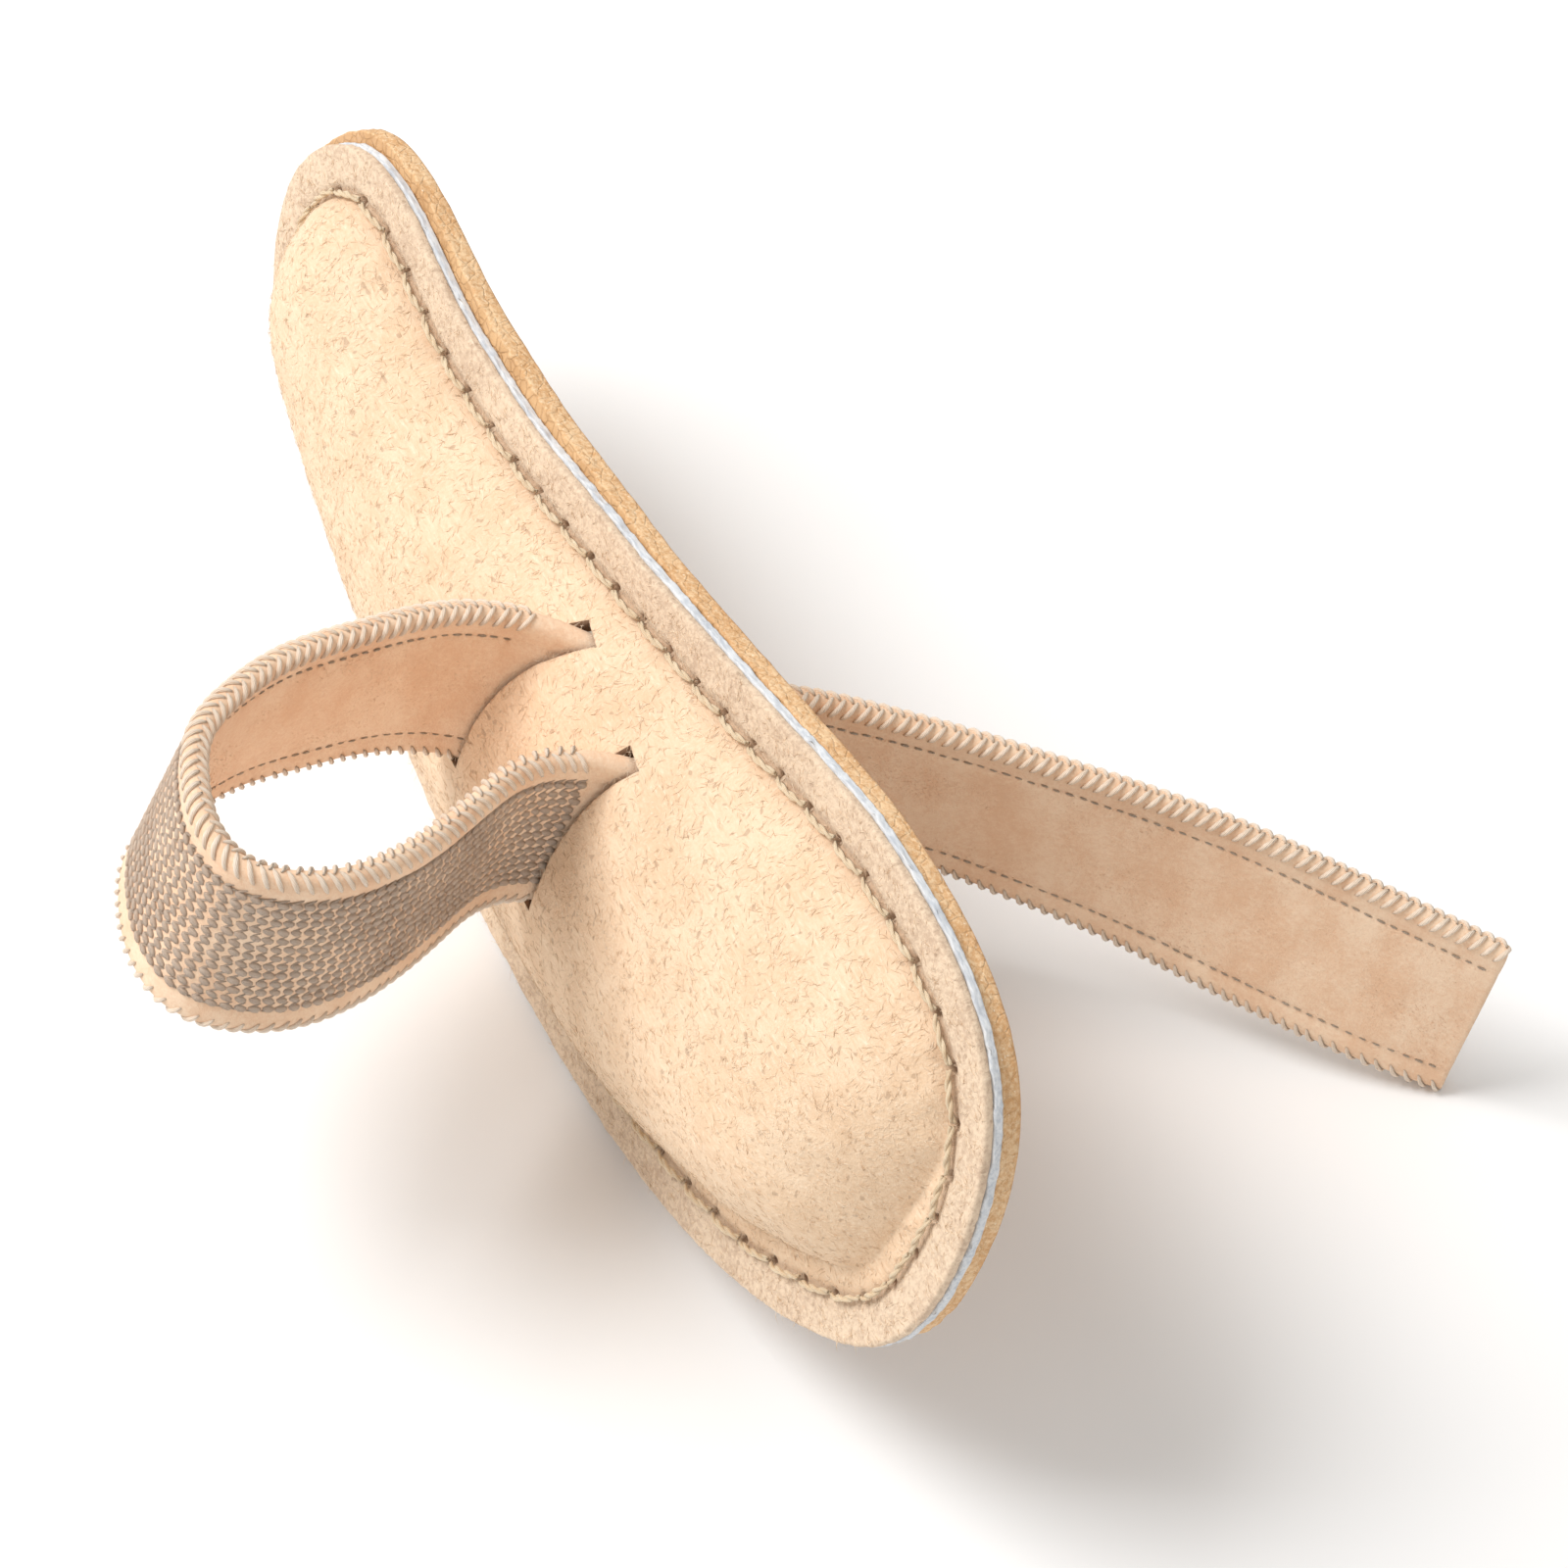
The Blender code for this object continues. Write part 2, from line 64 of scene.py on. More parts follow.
# The shape of the cushion, the same as in its solids
cushion = {
    "length": 88.0,
    "width": 37.0,
    "rimWidth": 2.9,
    "domeHeight": 6.4,
    "domePower": 2.4,
    "flankPower": 0.8,
    "leatherOverhang": 1.0,
    "underside": -2.65,
    # round the rim from the wide end's tip: shares of the length and the width, and of the overhang
    "outline": [
        (0.466, 0.000, -0.3), (0.452, 0.230, -0.3), (0.403, 0.376, -0.3), (0.330, 0.432, -0.3),
        (0.239, 0.430, -0.2), (0.102, 0.351, 0.1), (-0.045, 0.265, 0.2), (-0.182, 0.197, 0.7),
        (-0.318, 0.169, 0.9), (-0.426, 0.189, 0.7), (-0.486, 0.146, 0.8), (-0.520, 0.059, 0.5),
        (-0.533, -0.068, 0.2), (-0.508, -0.228, 0.1), (-0.438, -0.356, 0.0), (-0.307, -0.459, 0.0),
        (-0.159, -0.541, 0.0), (-0.011, -0.568, 0.0), (0.148, -0.545, 0.0), (0.286, -0.463, 0.0),
        (0.397, -0.314, -0.1), (0.455, -0.152, -0.2),
    ],
    # the dome's crest line from the narrow end: shares of the length, the width and the dome's height
    "crest": [
        (-0.398, -0.103, 0.74), (-0.227, -0.162, 0.86), (0.000, -0.138, 0.93),
        (0.159, -0.076, 1.00), (0.278, -0.019, 0.98),
    ],
}

# The route of the strap, the same as in its solids
strap = {
    "width": 12.7,
    "across": -1.4,
    "slitSpacing": 10.8,
    "slitsAlong": -0.8,
    "loopHeight": 25.3,
    "anchorReach": 8.5,
    "backSlitReach": 6.5,
    "tailLength": 52.0,
    "tailSlant": 1.0,
    "insideLevel": -0.1,
    # share of the reach past the slit, share of the way down
    "anchoredEnd": [(1.00, 1.00), (0.72, 0.985), (0.44, 0.86), (0.20, 0.57), (0.06, 0.24)],
    # shares of the slits' spacing and of the loop's height, and twist in degrees
    "toeLoop": [
        (0.500, 0.000, 0.0), (0.481, 0.103, -1.0), (0.532, 0.190, -2.0), (0.648, 0.287, -2.7),
        (0.787, 0.395, -2.7), (0.954, 0.557, -2.7), (1.037, 0.719, -2.7), (0.986, 0.878, -2.7),
        (0.843, 0.968, -2.7), (0.546, 1.000, -2.7), (0.250, 0.972, -2.7), (-0.019, 0.915, -2.7),
        (-0.282, 0.777, -2.7), (-0.472, 0.597, -2.7), (-0.565, 0.374, -2.0), (-0.602, 0.186, -1.0),
        (-0.500, 0.000, 0.0),
    ],
    # share of the reach to the slit in the back, share of the way down
    "through": [(0.22, 0.28), (0.60, 0.62), (1.00, 1.00)],
    # shares of the tail's length along and below the slit in the back, and twist in degrees
    "tail": [
        (0.032, 0.117, -2.0), (0.072, 0.222, -5.0), (0.125, 0.326, -7.0), (0.187, 0.418, -5.0),
        (0.253, 0.508, -2.0), (0.326, 0.592, 2.0), (0.407, 0.677, 4.0), (0.486, 0.762, 3.0),
        (0.539, 0.826, 0.0),
    ],
}


def smoothCurve(knots, count, closed=False):
    # A cubic through the knots whose bend has no jumps: its tangents solve one linear system, and its rows
    # are then spaced evenly along it. The first two columns are the place, the others are carried along.
    knots = np.asarray(knots, float)
    if closed:
        knots = np.vstack([knots, knots[:1]])
    gaps = np.linalg.norm(np.diff(knots[:, :2], axis=0), axis=1)
    slopes = np.diff(knots, axis=0) / gaps[:, None]
    size = len(gaps) if closed else len(knots)
    system = np.zeros((size, size))
    wanted = np.zeros((size, knots.shape[1]))
    for i in range(size):
        if not closed and i in (0, size - 1):
            system[i, i] = 2
            system[i, 1 if i == 0 else size - 2] = 1
            wanted[i] = 3 * slopes[min(i, size - 2)]
        else:
            system[i, i - 1] = gaps[i % len(gaps)]
            system[i, i] = 2 * (gaps[i - 1] + gaps[i % len(gaps)])
            system[i, (i + 1) % size] = gaps[i - 1]
            wanted[i] = 3 * (gaps[i % len(gaps)] * slopes[i - 1] + gaps[i - 1] * slopes[i % len(gaps)])
    tangents = np.linalg.solve(system, wanted)
    if closed:
        tangents = np.vstack([tangents, tangents[:1]])
    t = np.linspace(0, 1, 40, endpoint=False)[None, :, None]
    first, last = knots[:-1, None], knots[1:, None]
    start, end = (gaps[:, None] * tangents[:-1])[:, None], (gaps[:, None] * tangents[1:])[:, None]
    fine = (2 * t**3 - 3 * t**2 + 1) * first + (t**3 - 2 * t**2 + t) * start
    fine = fine + (3 * t**2 - 2 * t**3) * last + (t**3 - t**2) * end
    fine = np.vstack([fine.reshape(-1, knots.shape[1]), knots[-1:]])
    run = np.concatenate([[0], np.cumsum(np.linalg.norm(np.diff(fine[:, :2], axis=0), axis=1))])
    places = np.linspace(0, run[-1], count + 1 if closed else count)
    even = np.column_stack([np.interp(places, run, column) for column in fine.T])
    return even[:-1] if closed else even


def smoothStep(low, high, values):
    t = np.clip((values - low) / (high - low), 0, 1)
    return t * t * (3 - 2 * t)


def unit(vectors):
    size = np.linalg.norm(vectors, axis=-1, keepdims=True)
    return vectors / np.maximum(size, 1e-12)


def softNoise(points, cell, seed):
    # Random numbers from -1 to 1 on a lattice of that cell, blended smoothly between its corners
    table = np.random.default_rng(seed).uniform(-1, 1, (32, 32, 32))
    spots = np.asarray(points) / cell
    low = np.floor(spots).astype(int)
    part = spots - low
    part = part * part * (3 - 2 * part)
    total = np.zeros(spots.shape[:-1])
    for corner in np.ndindex(2, 2, 2):
        weight = np.prod(np.where(corner, part, 1 - part), axis=-1)
        index = (low + np.array(corner)) % 32
        total = total + weight * table[index[..., 0], index[..., 1], index[..., 2]]
    return total


def offsetOutline(outline, distance):
    # each point moved out along the outline's own normal
    along = unit(np.roll(outline, -1, axis=0) - np.roll(outline, 1, axis=0))
    return outline + np.column_stack([along[:, 1], -along[:, 0]]) * np.asarray(distance)[:, None]


def reachTo(outline, feet, ways):
    # the distance from each foot along its way to the first edge of the outline that it meets
    edges = np.roll(outline, -1, axis=0) - outline
    offset = outline[None] - feet[:, None]
    turn = ways[:, None, 0] * edges[None, :, 1] - ways[:, None, 1] * edges[None, :, 0]
    turn = np.where(np.abs(turn) < 1e-12, 1e-12, turn)
    distance = (offset[..., 0] * edges[None, :, 1] - offset[..., 1] * edges[None, :, 0]) / turn
    share = (offset[..., 0] * ways[:, None, 1] - offset[..., 1] * ways[:, None, 0]) / turn
    met = (share >= 0) & (share <= 1) & (distance > 0)
    return np.where(met, distance, np.inf).min(axis=1)


def castRays(sideCount, wideCount, narrowCount):
    # Rays out of the crest line, square to it along its sides and fanned round its two ends: their feet and
    # ways, how far they reach to the suede's edge and the leather's, and where they cross the stitch line
    sizes = [cushion["length"], cushion["width"]]
    crest = smoothCurve(np.array(cushion["crest"]) * (sizes + [cushion["domeHeight"]]), sideCount)
    heading = np.arctan2(*np.gradient(crest[:, :2], axis=0).T[::-1])
    last = sideCount - 1
    wideFan = np.linspace(0, np.pi, wideCount + 2)[1:-1]
    narrowFan = np.linspace(0, np.pi, narrowCount + 2)[1:-1]
    index = np.concatenate([
        np.arange(sideCount), np.full(wideCount, last), np.arange(last, -1, -1), np.zeros(narrowCount, int)
    ])
    angles = np.concatenate([
        heading + np.pi / 2, heading[last] + np.pi / 2 - wideFan,
        heading[::-1] - np.pi / 2, heading[0] - np.pi / 2 - narrowFan,
    ])
    outline = smoothCurve(np.array(cushion["outline"]) * (sizes + [cushion["leatherOverhang"]]), 900, True)
    feet, ways = crest[index, :2], np.column_stack([np.cos(angles), np.sin(angles)])
    reach = reachTo(outline[:, :2], feet, ways)
    leatherReach = reachTo(offsetOutline(outline[:, :2], outline[:, 2]), feet, ways)
    span = reach - cushion["rimWidth"]
    seam = feet + ways * span[:, None]
    steps = np.linalg.norm(np.roll(seam, -1, axis=0) - seam, axis=1)
    run = np.cumsum(steps) - steps
    return {
        "feet": feet, "ways": ways, "crest": crest[index, 2], "reach": reach, "leatherReach": leatherReach,
        "span": span, "run": run, "round": steps.sum(), "seam": seam,
    }


footClear = {"least": 0.25, "most": 1.5, "fillet": 0.30}


def suedeHeight(rays, inside):
    # The dome over the rim, at distances inside the stitch line: the crest's height times a rounded share of
    # the way out, with a small fillet at its foot. Round the wide end the foot lies clear of the stitches.
    fromWide = smoothStep(8, 24, rays["feet"][:, 0])
    turned = np.arctan2(rays["ways"][:, 1], rays["ways"][:, 0])
    clear = footClear["most"] * fromWide * smoothStep(0.9, 0.1, turned) * smoothStep(-2.6, -1.7, turned)
    reached = np.maximum(rays["span"] - footClear["least"] - clear, 1e-6)
    out = np.clip(1 - (inside - footClear["least"] - clear) / reached, 0, 1)
    height = rays["crest"] * (1 - out ** cushion["domePower"]) ** cushion["flankPower"]
    fillet = footClear["fillet"]
    rounded = np.sqrt(height**2 + fillet**2) - fillet
    return rounded * rays["crest"] / (np.sqrt(rays["crest"] ** 2 + fillet**2) - fillet)


def strapRoute(spacing):
    # The strap's centre line as evenly spaced stations: place, the ways forward, across and to its plush
    # face, its run in millimetres, and the run at which it passes each slit
    rays = castRays(160, 60, 40)
    first = strap["slitsAlong"] - strap["slitSpacing"] / 2
    second = strap["slitsAlong"] + strap["slitSpacing"] / 2

    def level(along):
        spot = np.array([along, strap["across"]])
        nearest = np.argmin(np.linalg.norm(rays["feet"] - spot, axis=1))
        distance = np.linalg.norm(rays["feet"][nearest] - spot)
        way = (spot - rays["feet"][nearest]) / distance
        ray = np.argmax(rays["ways"][rays["feet"][:, 0] == rays["feet"][nearest, 0]] @ way)
        ray = np.flatnonzero(rays["feet"][:, 0] == rays["feet"][nearest, 0])[ray]
        share = distance / rays["span"][ray]
        return rays["crest"][ray] * (1 - share ** cushion["domePower"]) ** cushion["flankPower"]

    firstLevel, secondLevel, floor = level(first), level(second), strap["insideLevel"]
    rows = [
        (second + along * strap["anchorReach"], secondLevel + depth * (floor - secondLevel), 0)
        for along, depth in strap["anchoredEnd"]
    ]
    rise = np.linspace(secondLevel - firstLevel, 0, len(strap["toeLoop"]))
    rows += [
        (strap["slitsAlong"] + along * strap["slitSpacing"],
         firstLevel + step + height * strap["loopHeight"], twist)
        for (along, height, twist), step in zip(strap["toeLoop"], rise)
    ]
    rows += [
        (first + along * strap["backSlitReach"],
         firstLevel + depth * (cushion["underside"] - firstLevel), 0)
        for along, depth in strap["through"]
    ]
    back = first + strap["backSlitReach"]
    rows += [
        (back + along * strap["tailLength"], cushion["underside"] - below * strap["tailLength"], twist)
        for along, below, twist in strap["tail"]
    ]
    knots = np.array(rows)
    length = np.linalg.norm(np.diff(knots[:, :2], axis=0), axis=1).sum()
    path = smoothCurve(knots, round(length / spacing))
    run = np.concatenate([[0], np.cumsum(np.linalg.norm(np.diff(path[:, :2], axis=0), axis=1))])
    slope = unit(np.gradient(path[:, :2], axis=0))
    forward = np.column_stack([slope[:, 0], np.zeros(len(path)), slope[:, 1]])
    flat = np.array([0.0, 1.0, 0.0])
    plush = np.cross(forward, flat)
    twist = np.radians(path[:, 2:])
    slits = [
        run[np.argmin(np.hypot(path[:, 0] - along, path[:, 1] - height))]
        for along, height in ((second, secondLevel), (first, firstLevel), (back, cushion["underside"]))
    ]
    return {
        "place": np.column_stack([path[:, 0], np.full(len(path), strap["across"]), path[:, 1]]),
        "forward": forward,
        "across": np.cos(twist) * flat - np.sin(twist) * plush,
        "plush": np.cos(twist) * plush + np.sin(twist) * flat,
        "run": run,
        "slits": slits,
    }


def onStrap(route, run, across, plush):
    # A point on the strap by its run, its distance across and its height towards the plush face, together
    # with the ways forward, across and to the plush face there
    def at(name):
        return np.stack([np.interp(run, route["run"], route[name][:, i]) for i in range(3)], axis=-1)
    ways = [unit(at(name)) for name in ("forward", "across", "plush")]
    slant = strap["tailSlant"] * smoothStep(8, 0, route["run"][-1] - run) * (0.5 - across / strap["width"])
    place = at("place") + ways[0] * slant[..., None]
    return place + ways[1] * across[..., None] + ways[2] * plush[..., None], ways


# Making meshes
def gridFaces(rows, columns, closedRows=False, closedColumns=False):
    # the quads of a grid of points numbered along its rows
    r = np.arange(rows if closedRows else rows - 1)[:, None]
    c = np.arange(columns if closedColumns else columns - 1)[None, :]
    nextRow, nextColumn = (r + 1) % rows, (c + 1) % columns
    corners = [(r, c), (r, nextColumn), (nextRow, nextColumn), (nextRow, c)]
    numbers = [np.broadcast_to(row * columns + column, (r.size, c.size)) for row, column in corners]
    return np.stack(numbers, axis=-1).reshape(-1, 4)


def makePiece(name, points, faces, finish=None, uv=None, mergeWithin=None):
    # A mesh object from points in millimetres of the flat cushion; faces are arrays of equal-sided polygons
    mesh = bpy.data.meshes.new(name)
    faces = faces if isinstance(faces, list) else [faces]
    polygons = [face for part in faces for face in part.tolist()]
    mesh.from_pydata(toWorld(points.reshape(-1, 3)).tolist(), [], polygons)
    mesh.polygons.foreach_set("use_smooth", np.ones(len(mesh.polygons), bool))
    if uv is not None:
        layer = mesh.uv_layers.new(name="surface")
        corners = np.empty(len(mesh.loops), int)
        mesh.loops.foreach_get("vertex_index", corners)
        layer.data.foreach_set("uv", uv.reshape(-1, 2)[corners].astype(np.float32).ravel())
    if mergeWithin is not None:
        shell = bmesh.new()
        shell.from_mesh(mesh)
        bmesh.ops.remove_doubles(shell, verts=shell.verts, dist=mergeWithin / 1000)
        bmesh.ops.recalc_face_normals(shell, faces=shell.faces)
        shell.to_mesh(mesh)
        shell.free()
    thing = bpy.data.objects.new(name, mesh)
    bpy.context.scene.collection.objects.link(thing)
    if finish is not None:
        mesh.materials.append(finish)
    return thing


def settle(thing):
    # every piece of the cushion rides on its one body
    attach(thing, "root")
    return thing


def gridNormals(points):
    # unit normals of a closed-round grid of rows from the crest outwards, pointing up
    around = np.roll(points, -1, axis=1) - np.roll(points, 1, axis=1)
    normals = unit(np.cross(around, np.gradient(points, axis=0)))
    flat = np.linalg.norm(normals, axis=-1, keepdims=True) < 0.5
    normals = np.where(flat, np.array([0.0, 0.0, 1.0]), normals)
    return normals * np.where(normals[..., 2:] < 0, -1, 1)


def sampleGrid(points, count, rng, closedColumns=True):
    # Random places on a grid of points, as often as its cells are large: the place and the cell's normal
    rows, columns = points.shape[:2]
    faces = gridFaces(rows, columns, closedColumns=closedColumns)
    flat = points.reshape(-1, 3)
    a, b, c, d = (flat[faces[:, i]] for i in range(4))
    normal = np.cross(c - a, d - b)
    chance = np.linalg.norm(normal, axis=1)
    pick = rng.choice(len(faces), count, p=chance / chance.sum())
    u, v = rng.random((2, count, 1))
    place = (1 - u) * (1 - v) * a[pick] + u * (1 - v) * b[pick] + u * v * c[pick] + (1 - u) * v * d[pick]
    return place, unit(normal[pick])


def fibres(name, roots, ways, lengths, thickness, bend, finish, rng):
    # Short fibres, each a three-sided spike with one bend: a ring at the root, one at the middle and a tip
    count = len(roots)
    side = unit(np.cross(ways, rng.normal(size=(count, 3))))
    other = np.cross(ways, side)
    angles = np.arange(3) * 2 * np.pi / 3
    ring = np.cos(angles)[None, :, None] * side[:, None] + np.sin(angles)[None, :, None] * other[:, None]
    radius = np.broadcast_to(thickness, (count,))[:, None, None] / 2
    middle = roots + ways * lengths[:, None] * 0.5
    tip = roots + ways * lengths[:, None] + bend * lengths[:, None]
    low, high = roots[:, None] + ring * radius, middle[:, None] + ring * radius * 0.8
    points = np.concatenate([low, high, tip[:, None]], axis=1)
    base = np.arange(count)[:, None, None] * 7
    quads = base + np.array([[0, 1, 4, 3], [1, 2, 5, 4], [2, 0, 3, 5]])
    triangles = base + np.array([[2, 1, 0], [3, 4, 6], [4, 5, 6], [5, 3, 6]])
    return makePiece(name, points, [quads.reshape(-1, 4), triangles.reshape(-1, 3)], finish)


def beads(name, centres, ways, sizes, sides, rings, finish):
    # Many small plump shapes in one mesh: an ellipsoid of few faces at each centre, along its own three
    # ways and scaled by its own three half sizes
    polar = np.linspace(0, np.pi, rings + 2)[1:-1]
    turn = np.arange(sides) * 2 * np.pi / sides
    ball = np.stack([
        np.cos(polar)[:, None] * np.ones(sides),
        np.sin(polar)[:, None] * np.cos(turn),
        np.sin(polar)[:, None] * np.sin(turn),
    ], axis=-1).reshape(-1, 3)
    ball = np.vstack([[[1, 0, 0]], ball, [[-1, 0, 0]]])
    scaled = ball[None] * sizes[:, None]
    points = centres[:, None] + np.einsum("nkj,njc->nkc", scaled, ways)
    each = len(ball)
    quads = 1 + gridFaces(rings, sides, closedColumns=True)[:, ::-1]
    start = 1 + np.arange(sides)
    caps = np.vstack([
        np.column_stack([np.zeros(sides, int), start, 1 + (np.arange(sides) + 1) % sides]),
        np.column_stack([np.full(sides, each - 1), each - 1 - sides + (np.arange(sides) + 1) % sides,
                         each - 1 - sides + np.arange(sides)]),
    ])
    base = np.arange(len(centres))[:, None, None] * each
    uv = np.broadcast_to(ball[None, :, :2], (len(centres), each, 2))
    parts = [(base + quads).reshape(-1, 4), (base + caps).reshape(-1, 3)]
    return makePiece(name, points, parts, finish, uv)


def tubes(name, lines, radii, sides, finish):
    # Many short tubes in one mesh: lines is strands x points x 3, radii strands x points. Each is a circle
    # carried along its line and closed at both ends
    count, steps = lines.shape[:2]
    forward = unit(np.gradient(lines, axis=1))
    guide = np.broadcast_to([0.31, 0.12, 0.94], forward.shape)
    side = unit(np.cross(guide, forward))
    other = np.cross(forward, side)
    turn = np.arange(sides) * 2 * np.pi / sides
    ring = np.cos(turn)[:, None] * side[:, :, None] + np.sin(turn)[:, None] * other[:, :, None]
    points = lines[:, :, None] + ring * radii[:, :, None, None]
    base = np.arange(count)[:, None, None] * steps * sides
    quads = base + gridFaces(steps, sides, closedColumns=True)
    ends = base + np.array([np.arange(sides)[::-1], (steps - 1) * sides + np.arange(sides)])
    run = np.broadcast_to(np.linspace(0, 1, steps)[None, :, None], points.shape[:3])
    around = np.broadcast_to(turn / (2 * np.pi), points.shape[:3])
    parts = [quads.reshape(-1, 4), ends.reshape(-1, sides)]
    return makePiece(name, points, parts, finish, np.stack([run, around], axis=-1))


# Making finishes
class Wire:
    # One output of a node. Arithmetic on it adds Math nodes
    def __init__(self, finish, socket):
        self.finish = finish
        self.socket = socket

    def join(self, operation, first, second):
        return self.finish.add("ShaderNodeMath", {"operation": operation}, {0: first, 1: second})

    def __add__(self, other):
        return self.join("ADD", self, other)

    def __sub__(self, other):
        return self.join("SUBTRACT", self, other)

    def __rsub__(self, other):
        return self.join("SUBTRACT", other, self)

    def __mul__(self, other):
        return self.join("MULTIPLY", self, other)

    def __pow__(self, other):
        return self.join("POWER", self, other)

    __radd__ = __add__
    __rmul__ = __mul__


class Finish:
    # A material with one Principled shader. Its nodes are added by type, settings and sockets
    def __init__(self, name):
        self.material = bpy.data.materials.new(name)
        self.material.use_nodes = True
        self.tree = self.material.node_tree
        self.shader = self.tree.nodes["Principled BSDF"]

    def add(self, kind, settings=None, sockets=None, out=0):
        node = self.tree.nodes.new(kind)
        for name, value in (settings or {}).items():
            setattr(node, name, value)
        self.set(node, sockets or {})
        return Wire(self, node.outputs[out])

    def set(self, node, sockets):
        for name, value in sockets.items():
            if isinstance(value, Wire):
                self.tree.links.new(value.socket, node.inputs[name])
            else:
                node.inputs[name].default_value = value

    def surface(self, **sockets):
        self.set(self.shader, {name.replace("_", " "): value for name, value in sockets.items()})
        return self.material

    def spot(self, turn=(0, 0, 0), scale=(1, 1, 1)):
        # the place on the piece in world metres, turned and stretched for a directed pattern
        place = self.add("ShaderNodeTexCoord", out="Object")
        return self.add("ShaderNodeMapping", {}, {"Vector": place, "Rotation": turn, "Scale": scale})

    def noise(self, size, vector=None, detail=2.0, roughness=0.55):
        # noise from 0 to 1 whose features are about that size in millimetres
        sockets = {"Scale": 1000 / size, "Detail": detail, "Roughness": roughness}
        return self.add("ShaderNodeTexNoise", {}, {"Vector": vector or self.spot(), **sockets})

    def limit(self, value, low, high):
        return self.add("ShaderNodeMapRange", {"interpolation_type": "SMOOTHSTEP"},
                        {"Value": value, "From Min": low, "From Max": high})

    def mix(self, share, first, second):
        return self.add("ShaderNodeMix", {"data_type": "RGBA"}, {0: share, 6: first, 7: second}, out=2)

    def bump(self, height, depth):
        # relief of that depth in millimetres
        return self.add("ShaderNodeBump", {}, {"Height": height, "Distance": depth / 1000})

    def split(self):
        # the two numbers of the piece's own UV map
        wire = self.add("ShaderNodeUVMap", {"uv_map": "surface"})
        node = self.tree.nodes.new("ShaderNodeSeparateXYZ")
        self.tree.links.new(wire.socket, node.inputs[0])
        return Wire(self, node.outputs[0]), Wire(self, node.outputs[1])


def tone(red, green, blue):
    # a screen colour from 0 to 255 as the light that it stands for
    values = np.array([red, green, blue]) / 255
    return (*np.where(values <= 0.04045, values / 12.92, ((values + 0.055) / 1.055) ** 2.4), 1.0)


suedeTones = {
    "dome": tone(243, 216, 186),
    "domeDeep": tone(231, 198, 164),
    "rim": tone(233, 209, 182),
    # the rim's darker speckle, also the painted shade at the dome's foot
    "rimDeepAndFootShade": tone(203, 176, 151),
    # dark specks, also the painted shade along the seam's groove
    "speckAndGrooveShade": tone(148, 116, 90),
    # painted shade in the stitch holes
    "holeShade": tone(112, 78, 52),
    # painted highlight along the suede's fibres
    "fibreHighlight": tone(252, 232, 208),
}


def suedeFinish():
    # Brushed suede: fibres lying in two directions with a painted highlight along them, soft mottle, a
    # speckled greyer rim, and painted shade in the stitch holes, along the seam's groove and at the dome's
    # foot
    finish = Finish("suede")
    near, inside = finish.split()
    streakOne = finish.noise(0.16, finish.spot((0.5, 0.3, 0.6), (1, 0.22, 1)), 3)
    streakTwo = finish.noise(0.18, finish.spot((-0.4, 0.2, -0.9), (0.25, 1, 1)), 3)
    lie = finish.limit(finish.noise(2.4), 0.42, 0.58)
    streak = streakOne * lie + streakTwo * (1 - lie)
    mottle = finish.noise(3.5, detail=3)
    grain = finish.noise(0.32, detail=3, roughness=0.7)
    onRim = finish.limit(inside, 0.5, -0.3)
    shade = finish.limit(mottle * 0.5 + streak * 0.7, 0.42, 0.78)
    dome = finish.mix(shade, suedeTones["domeDeep"], suedeTones["dome"])
    speckled = finish.limit(grain * 0.75 + mottle * 0.35, 0.40, 0.66)
    rim = finish.mix(speckled, suedeTones["rimDeepAndFootShade"], suedeTones["rim"])
    base = finish.mix(onRim, dome, rim)
    specks = finish.limit(finish.noise(0.45, detail=0), 0.73, 0.80) * 0.4
    base = finish.mix(specks, base, suedeTones["speckAndGrooveShade"])
    # painted highlight: a lighter tone on the peaks of the fibre streaks
    fibreHighlight = finish.limit(streak, 0.60, 0.72) * 0.45
    base = finish.mix(fibreHighlight, base, suedeTones["fibreHighlight"])
    # painted shade: dark brown in and round each stitch hole
    fromHole = (near * near + inside * inside) ** 0.5
    holeShade = finish.limit(fromHole + (grain - 0.5) * 0.25, 0.46, 0.16)
    # painted shade: a darker line along the seam's groove
    seamGrooveShade = finish.limit((inside * inside) ** 0.5 + (grain - 0.5) * 0.3, 0.42, 0.05) * 0.22
    # painted shade: darker at the dome's foot, in a band just inside the seam
    footShade = finish.limit(inside, 1.3, 0.2) * finish.limit(inside, -0.5, 0.2) * 0.18
    base = finish.mix(footShade, base, suedeTones["rimDeepAndFootShade"])
    base = finish.mix(seamGrooveShade, base, suedeTones["speckAndGrooveShade"])
    base = finish.mix(holeShade * 0.85, base, suedeTones["holeShade"])
    relief = streak * 0.6 + grain * 0.5 + finish.noise(0.09, detail=1) * 0.25
    return finish.surface(
        Base_Color=base, Roughness=0.95, Normal=finish.bump(relief, 0.11), Specular_IOR_Level=0.15,
        Sheen_Weight=0.25, Sheen_Roughness=0.6, Sheen_Tint=tone(255, 240, 220),
    )


def napFinish(name, bright, deep):
    # Loose fibres, each a little lighter or darker than the next
    finish = Finish(name)
    shade = finish.noise(0.5, detail=2)
    return finish.surface(
        Base_Color=finish.mix(finish.limit(shade, 0.35, 0.65), deep, bright), Roughness=0.9,
        Normal=finish.bump(finish.noise(0.08, detail=1), 0.01), Specular_IOR_Level=0.2,
    )


def whiteFinish():
    # The thin white layer: pressed fibres, bluish grey in their gaps
    finish = Finish("white_layer")
    strand = finish.noise(0.2, finish.spot((0.4, 0.3, 0.2), (0.3, 1, 1)), 3)
    cloud = finish.noise(1.6, detail=2)
    shade = finish.limit(strand * 0.7 + cloud * 0.4, 0.38, 0.68)
    base = finish.mix(shade, tone(196, 201, 208), tone(228, 230, 232))
    return finish.surface(
        Base_Color=base, Roughness=0.75, Normal=finish.bump(strand, 0.05), Specular_IOR_Level=0.3,
    )


